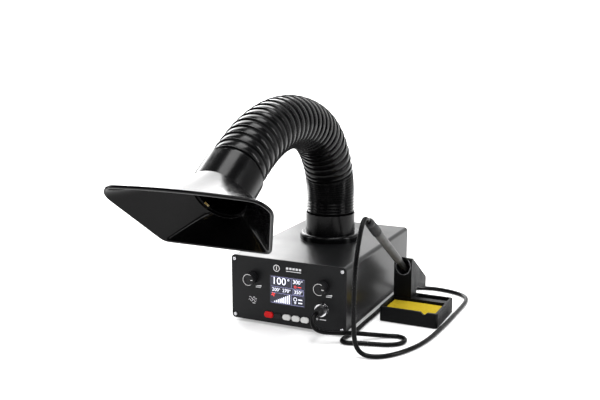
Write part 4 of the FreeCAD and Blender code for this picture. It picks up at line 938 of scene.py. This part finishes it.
class STATION_OT_panel(bpy.types.Operator):
    """Display, printed marks, knobs, buttons, socket and plug"""

    bl_idname = "station.panel"
    bl_label = "Front panel"

    def execute(self, context):
        look = context.scene.station_case
        self.display(look)
        self.marks(look)
        self.dials()
        self.buttons()
        self.socket()
        return {"FINISHED"}

    def glass(self, look):
        """The dark, faintly glowing ground of the display."""
        ground = tuple(look.screen_colour)
        glass = Finish("display_glass", ground, 0.09, specular_ior_level=0.5)
        glow = glass.grain(30.0, 2.0)
        glass.set("Base Color", glass.mix(glow, ground, tuple(c * 1.3 for c in ground)))
        glass.set("Emission Color", glass.mix(glow, (0.0025, 0.003, 0.010), (0.004, 0.005, 0.016)))
        glass.set("Emission Strength", 1.0)
        dress(glass, "display_window")

    def display(self, look):
        self.glass(look)
        low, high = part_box("display_window")
        cx, cz = middle_xz("display_window")
        y = low.y - 0.00002
        wide, tall = high.x - low.x - 2 * SCREEN_EDGE, high.z - low.z - 2 * SCREEN_EDGE

        def spot(u, v):
            """Place on the screen, from (0, 0) at the lower left to (1, 1) at the upper right."""
            return (cx + (u - 0.5) * wide, y, cz + (v - 0.5) * tall)

        def across(u0, u1, v):
            return bar("line", spot((u0 + u1) / 2, v), (u1 - u0) * wide, SCREEN_LINE, SCREEN_DEPTH)

        def upright(u, v0, v1):
            return bar("line", spot(u, (v0 + v1) / 2), SCREEN_LINE, (v1 - v0) * tall, SCREEN_DEPTH)

        def ring(u, v, outer, inner, count=RINGED):
            return ring_plate("ring", spot(u, v), outer, inner, SCREEN_DEPTH, count=count)

        def strip(u, v, width, height, radius=0.0):
            return bar("bar", spot(u, v), width, height, SCREEN_DEPTH, radius)

        def reading(words, u, v, height, degree_u, degree_v, size):
            """Figures with a degree ring after them."""
            return [figures("figures", words, spot(u, v), height, SCREEN_DEPTH),
                    ring(degree_u, degree_v, size, size * 0.55, 24)]

        def show(name, meshes, look_of):
            finished(name, joined(name, meshes), look_of, "station")

        lines = [upright(0.62, 0.62, 0.99), upright(0.62, 0.01, 0.38), across(0.01, 0.99, 0.62),
                 across(0.01, 0.99, 0.385), across(0.67, 0.98, 0.415), across(0.67, 0.98, 0.59),
                 upright(0.67, 0.415, 0.59), upright(0.98, 0.415, 0.59),
                 across(0.005, 0.995, 0.992), across(0.005, 0.995, 0.008)]
        show("screen_lines", lines, lit("screen_line", tuple(look.line_colour), 0.75))
        pale = reading("100", 0.25, 0.825, 0.0118, 0.53, 0.915, 0.0016)
        pale += reading("300", 0.775, 0.875, 0.0064, 0.93, 0.925, 0.0010)
        for u, words in ((0.14, "200"), (0.45, "270"), (0.80, "350")):
            pale += reading(words, u, 0.502, 0.0056, u + 0.125, 0.545, 0.0009)
        for k in range(9):
            height = tall * (0.045 + 0.036 * k)
            x, _, foot = spot(0.12 + 0.055 * k, 0.03)
            pale.append(bar("bar", (x, y, foot + height / 2), 0.0018, height, SCREEN_DEPTH))
        white = lit("screen_white", (0.86, 0.88, 1.0), 0.95)
        show("screen_figures", pale, white)
        fan = [ring(0.075, 0.315, 0.0008, 0.0002)]
        for k in range(4):
            blade = outline_plate("blade", FAN_BLADE, SCREEN_DEPTH)
            turn = Matrix.Rotation(math.radians(90 * k), 4, "Y")
            blade.transform(Matrix.Translation(spot(0.075, 0.315)) @ turn)
            fan.append(blade)
        fan += [ring(0.735, 0.70, 0.0021, 0.0014), strip(0.86, 0.70, 0.0062, 0.0012, 0.0005)]
        show("screen_fan", fan, lit("screen_red", (0.95, 0.04, 0.03), 0.8))
        lamp = [ring(0.735, 0.235, 0.0031, 0.0023), strip(0.735, 0.115, 0.0030, 0.0012),
                strip(0.735, 0.075, 0.0020, 0.0008), strip(0.885, 0.235, 0.0066, 0.0016),
                strip(0.885, 0.115, 0.0066, 0.0016)]
        show("screen_lamp", lamp, white)

    def marks(self, look):
        """Plain printed marks: a ring and bars above the display, waves, and a wedge by each dial."""
        y = PANEL_Y - 0.00001

        def strip(x, z, width, height, radius):
            return bar("mark", (x, y, z), width, height, PRINT_DEPTH, radius)

        marks = [ring_plate("mark", (MARK_X, y, MARK_Z), 0.0056, 0.0044, PRINT_DEPTH),
                 strip(MARK_X, MARK_Z, 0.0014, 0.0060, 0.0006)]
        marks += [strip(0.0054 * k, 0.0970, 0.0040, 0.0034, 0.0007) for k in range(5)]
        marks.append(strip(0.0108, 0.0926, 0.0256, 0.0011, 0.0005))
        for row in range(2):
            for k in range(4):
                start = 0.0 if k % 2 == 0 else 180.0
                centre = (-0.0648 + 0.0032 * k - 0.0012 * row, y, 0.0420 - 0.0042 * row)
                stop = start + 180.0
                marks.append(ring_plate("wave", centre, 0.0019, 0.0013, PRINT_DEPTH, start, stop, 32))
        marks.append(strip(-0.0585, 0.0335, 0.0050, 0.0009, 0.0004))
        marks.append(strip(DIAL_X, 0.0232, 0.0105, 0.0012, 0.0005))
        marks.append(ring_plate("mark", (0.0508, y, 0.0232), 0.0015, 0.0009, PRINT_DEPTH))
        for x in (-DIAL_X, DIAL_X):
            marks.append(strip(x + 0.0095, 0.0605, 0.0092, 0.0009, 0.0004))
            wedge = outline_plate("mark", [(0.0, 0.0), (0.0105, 0.0), (0.0105, 0.0024)], PRINT_DEPTH)
            wedge.transform(Matrix.Translation((x + 0.0045, y, 0.0622)))
            marks.append(wedge)
        ink = printed("panel_ink", tuple(look.print_colour))
        finished("panel_marks", joined("panel_marks", marks), ink, "station")

    def dials(self):
        """Knobs with a printed arc near their edge and a pointer."""
        black = moulded("knob_plastic", (0.010, 0.010, 0.011), 0.30)
        white = printed("knob_ink", (0.85, 0.85, 0.85))
        for knob, body in (("fan_knob", "fan_dial"), ("temperature_knob", "temperature_dial")):
            dress(black, knob, smooth=25.0)
            low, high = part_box(knob)
            x, z = middle_xz(knob)
            y, radius = low.y - 0.00002, (high.x - low.x) / 2
            arc = ring_plate(knob + "_edge", (x, y, z), radius - 0.0007, radius - 0.0013, PRINT_DEPTH,
                             58.0, 302.0, 64)
            tick = bar(knob + "_tick", (x + radius * 0.62, y, z), 0.0036, 0.0010, TICK_DEPTH)
            finished(knob + "_print", joined(knob + "_print", [arc, tick]), white, body)

    def buttons(self):
        dress(moulded("button_red", (0.55, 0.006, 0.008), 0.16), "power_button")
        dress(moulded("button_black", (0.012, 0.012, 0.013), 0.16), "light_button")
        white = moulded("button_white", (0.62, 0.62, 0.61), 0.18, (0.45, 0.45, 0.44))
        dress(white, "preset_button_1", "preset_button_2", "preset_button_3")

    def socket(self):
        """The chromed socket, the plug with its knurled ring, and the ribbed boot behind the plug."""
        chrome = metal("chrome", (0.80, 0.80, 0.82), 0.10, depth=0.000006)
        dress(chrome, "iron_socket", "plug_ring")
        rubber = rubbery("plug_rubber", (0.012, 0.012, 0.013), 0.45)
        dress(rubber, "iron_plug")
        low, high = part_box("plug_ring")
        x, z = middle_xz("plug_ring")
        out = Matrix.Translation((0, 0, (high.x - low.x) / 2 - 0.00005))
        teeth = []
        for k in range(KNURLS):
            tooth = outline_plate("tooth", TOOTH, high.y - low.y - 0.0020)
            turn = Matrix.Rotation(2 * math.pi * k / KNURLS, 4, "Y")
            tooth.transform(Matrix.Translation((x, high.y - 0.0010, z)) @ turn @ out)
            teeth.append(tooth)
        finished("ring_knurl", joined("ring_knurl", teeth), chrome, "station", 20.0)
        profile = []
        for k in range(BOOT_RIBS):
            t = k / BOOT_RIBS
            radius = 0.0066 - 0.0022 * t
            groove = radius - 0.0008
            profile += [(BOOT_LENGTH * t, radius), (BOOT_LENGTH * (t + 0.09), radius),
                        (BOOT_LENGTH * (t + 0.10), groove), (BOOT_LENGTH * (t + 0.155), groove)]
        profile += [(BOOT_LENGTH, 0.0044), (BOOT_LENGTH + 0.0005, 0.0036)]
        start = Vector((x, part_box("iron_plug")[0].y + BOOT_LENGTH + 0.0002, z))
        boot = lathe("plug_boot", start, (0, -1, 0), profile, 40)
        finished("plug_boot", boot, rubber, "station", 35.0)


# ------------------------------------------------------------------ stand and iron
SPONGE_CUTS = 56
SPONGE_CORNER = 0.0022
SPONGE_CROWN = 0.0007
PORES = ((420.0, 0.00028), (1300.0, 0.00014))    # how many to a metre, and how deep
PORE_BASE = 0.00042
SLEEVE_LENGTH, SLEEVE_FRONT_R, SLEEVE_REAR_R = 0.043, 0.0078, 0.0070
SLEEVE_RIBS, RIB_PITCH, RIB_GROOVE = 9, 0.0036, 0.0009
FIRST_RIB = 0.0045


class STATION_OT_stand(bpy.types.Operator):
    """Iron stand, its liner, pads and sponge"""

    bl_idname = "station.stand"
    bl_label = "Iron stand"

    def execute(self, context):
        look = context.scene.station_stand
        dress(leather_grain("stand_plastic", tuple(look.stand_colour), 0.45), "stand_base")
        dress(rubbery("pad_rubber", (0.012, 0.012, 0.012), 0.6), "stand_feet")
        dress(metal("liner_steel", (0.34, 0.34, 0.35), 0.35), "holder_liner")
        self.sponge(look)
        return {"FINISHED"}

    def sponge(self, look):
        """A damp foam block: slightly crowned, its edges rounded and its faces full of pores."""
        low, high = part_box("sponge")
        size, middle = high - low, (high + low) / 2
        bm = bmesh.new()
        bmesh.ops.create_cube(bm, size=1.0)
        bmesh.ops.subdivide_edges(bm, edges=bm.edges[:], cuts=SPONGE_CUTS, use_grid_fill=True)
        for vert in bm.verts:
            p = Vector((vert.co.x * size.x, vert.co.y * size.y, vert.co.z * size.z))
            inner = Vector([max(SPONGE_CORNER - s / 2, min(s / 2 - SPONGE_CORNER, c))
                            for s, c in zip(size, p)])
            off = (p - inner).normalized()
            if off.length:
                p = inner + off * SPONGE_CORNER
            u, v = p.x / size.x * 2, p.y / size.y * 2
            if p.z > 0:
                p.z -= SPONGE_CROWN * (u * u + v * v) / 2
            pore = sum(noise.noise(p * number) * depth for number, depth in PORES)
            vert.co = p + off * (pore - PORE_BASE)
        mesh = from_bmesh("damp_sponge", bm)
        mesh.transform(Matrix.Translation(middle))
        foam = sponge_foam("cellulose", tuple(look.sponge_colour))
        piece = finished("damp_sponge", mesh, foam, "cleaning_sponge", 80.0)
        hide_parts("sponge")


class STATION_OT_iron(bpy.types.Operator):
    """The iron: grip, ribbed sleeve, nose and tip"""

    bl_idname = "station.iron"
    bl_label = "Iron"

    def execute(self, context):
        look = context.scene.station_stand
        axis = Vector(JOINTS["iron_draw"]["axis"]).normalized()
        dress(rubbery("grip_rubber", tuple(look.grip_colour), 0.5), "iron_grip")
        dress(leather_grain("nose_plastic", (0.013, 0.013, 0.013), 0.4), "iron_nose")
        dress(metal("tip_plating", (0.52, 0.50, 0.47), 0.3), "iron_tip")
        low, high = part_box("iron_sleeve")
        start = (low + high) / 2 - axis * (SLEEVE_LENGTH / 2)
        profile = [(0.0, SLEEVE_FRONT_R - 0.0008), (0.0006, SLEEVE_FRONT_R), (0.0040, SLEEVE_FRONT_R)]
        for k in range(SLEEVE_RIBS):
            here = FIRST_RIB + RIB_PITCH * k
            radius = SLEEVE_FRONT_R + (SLEEVE_REAR_R - SLEEVE_FRONT_R) * here / SLEEVE_LENGTH
            groove = radius - RIB_GROOVE
            profile += [(here, radius), (here + 0.0004, groove), (here + 0.0012, groove),
                        (here + 0.0016, radius), (here + RIB_PITCH - 0.0002, radius)]
        profile += [(SLEEVE_LENGTH - 0.0022, SLEEVE_REAR_R), (SLEEVE_LENGTH - 0.0006, SLEEVE_REAR_R - 0.0007),
                    (SLEEVE_LENGTH, SLEEVE_REAR_R - 0.0022), (SLEEVE_LENGTH, 0.0034)]
        black = rubbery("sleeve_rubber", (0.012, 0.012, 0.013), 0.42)
        sleeve = lathe("ribbed_sleeve", start, axis, profile, 56)
        piece = finished("ribbed_sleeve", sleeve, black, "iron", 35.0)
        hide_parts("iron_sleeve")
        return {"FINISHED"}


# ------------------------------------------------------------------ panel and start
class STATION_PT_tools(bpy.types.Panel):
    """Lists the station's pieces and their settings"""

    bl_idname = "STATION_PT_tools"
    bl_label = "Soldering station"
    bl_space_type = "VIEW_3D"
    bl_region_type = "UI"
    bl_category = "Station"

    def draw(self, context):
        layout = self.layout
        for operator in OPERATORS:
            layout.operator(operator.bl_idname)
        for name in GROUPS:
            group = getattr(context.scene, name)
            box = layout.box()
            box.label(text=name.replace("station_", "").title())
            for field in group.__annotations__:
                box.prop(group, field)


GROUPS = {"station_stage": StationStage, "station_cord": StationCord, "station_hose": StationHose,
          "station_hood": StationHood, "station_case": StationCase, "station_stand": StationStand}
OPERATORS = (STATION_OT_stage, STATION_OT_cord, STATION_OT_hose, STATION_OT_hood, STATION_OT_case,
             STATION_OT_panel, STATION_OT_stand, STATION_OT_iron)


def register():
    for group in GROUPS.values():
        bpy.utils.register_class(group)
    for name, group in GROUPS.items():
        setattr(bpy.types.Scene, name, PointerProperty(type=group))
    for operator in OPERATORS:
        bpy.utils.register_class(operator)
    bpy.utils.register_class(STATION_PT_tools)


def unregister():
    bpy.utils.unregister_class(STATION_PT_tools)
    for operator in reversed(OPERATORS):
        bpy.utils.unregister_class(operator)
    for name, group in GROUPS.items():
        delattr(bpy.types.Scene, name)
        bpy.utils.unregister_class(group)


def main():
    register()
    bpy.ops.station.stage()
    bpy.ops.station.cord()
    bpy.ops.station.hose()
    bpy.ops.station.hood()
    bpy.ops.station.case()
    bpy.ops.station.panel()
    bpy.ops.station.stand()
    bpy.ops.station.iron()


if __name__ == "__main__":
    main()
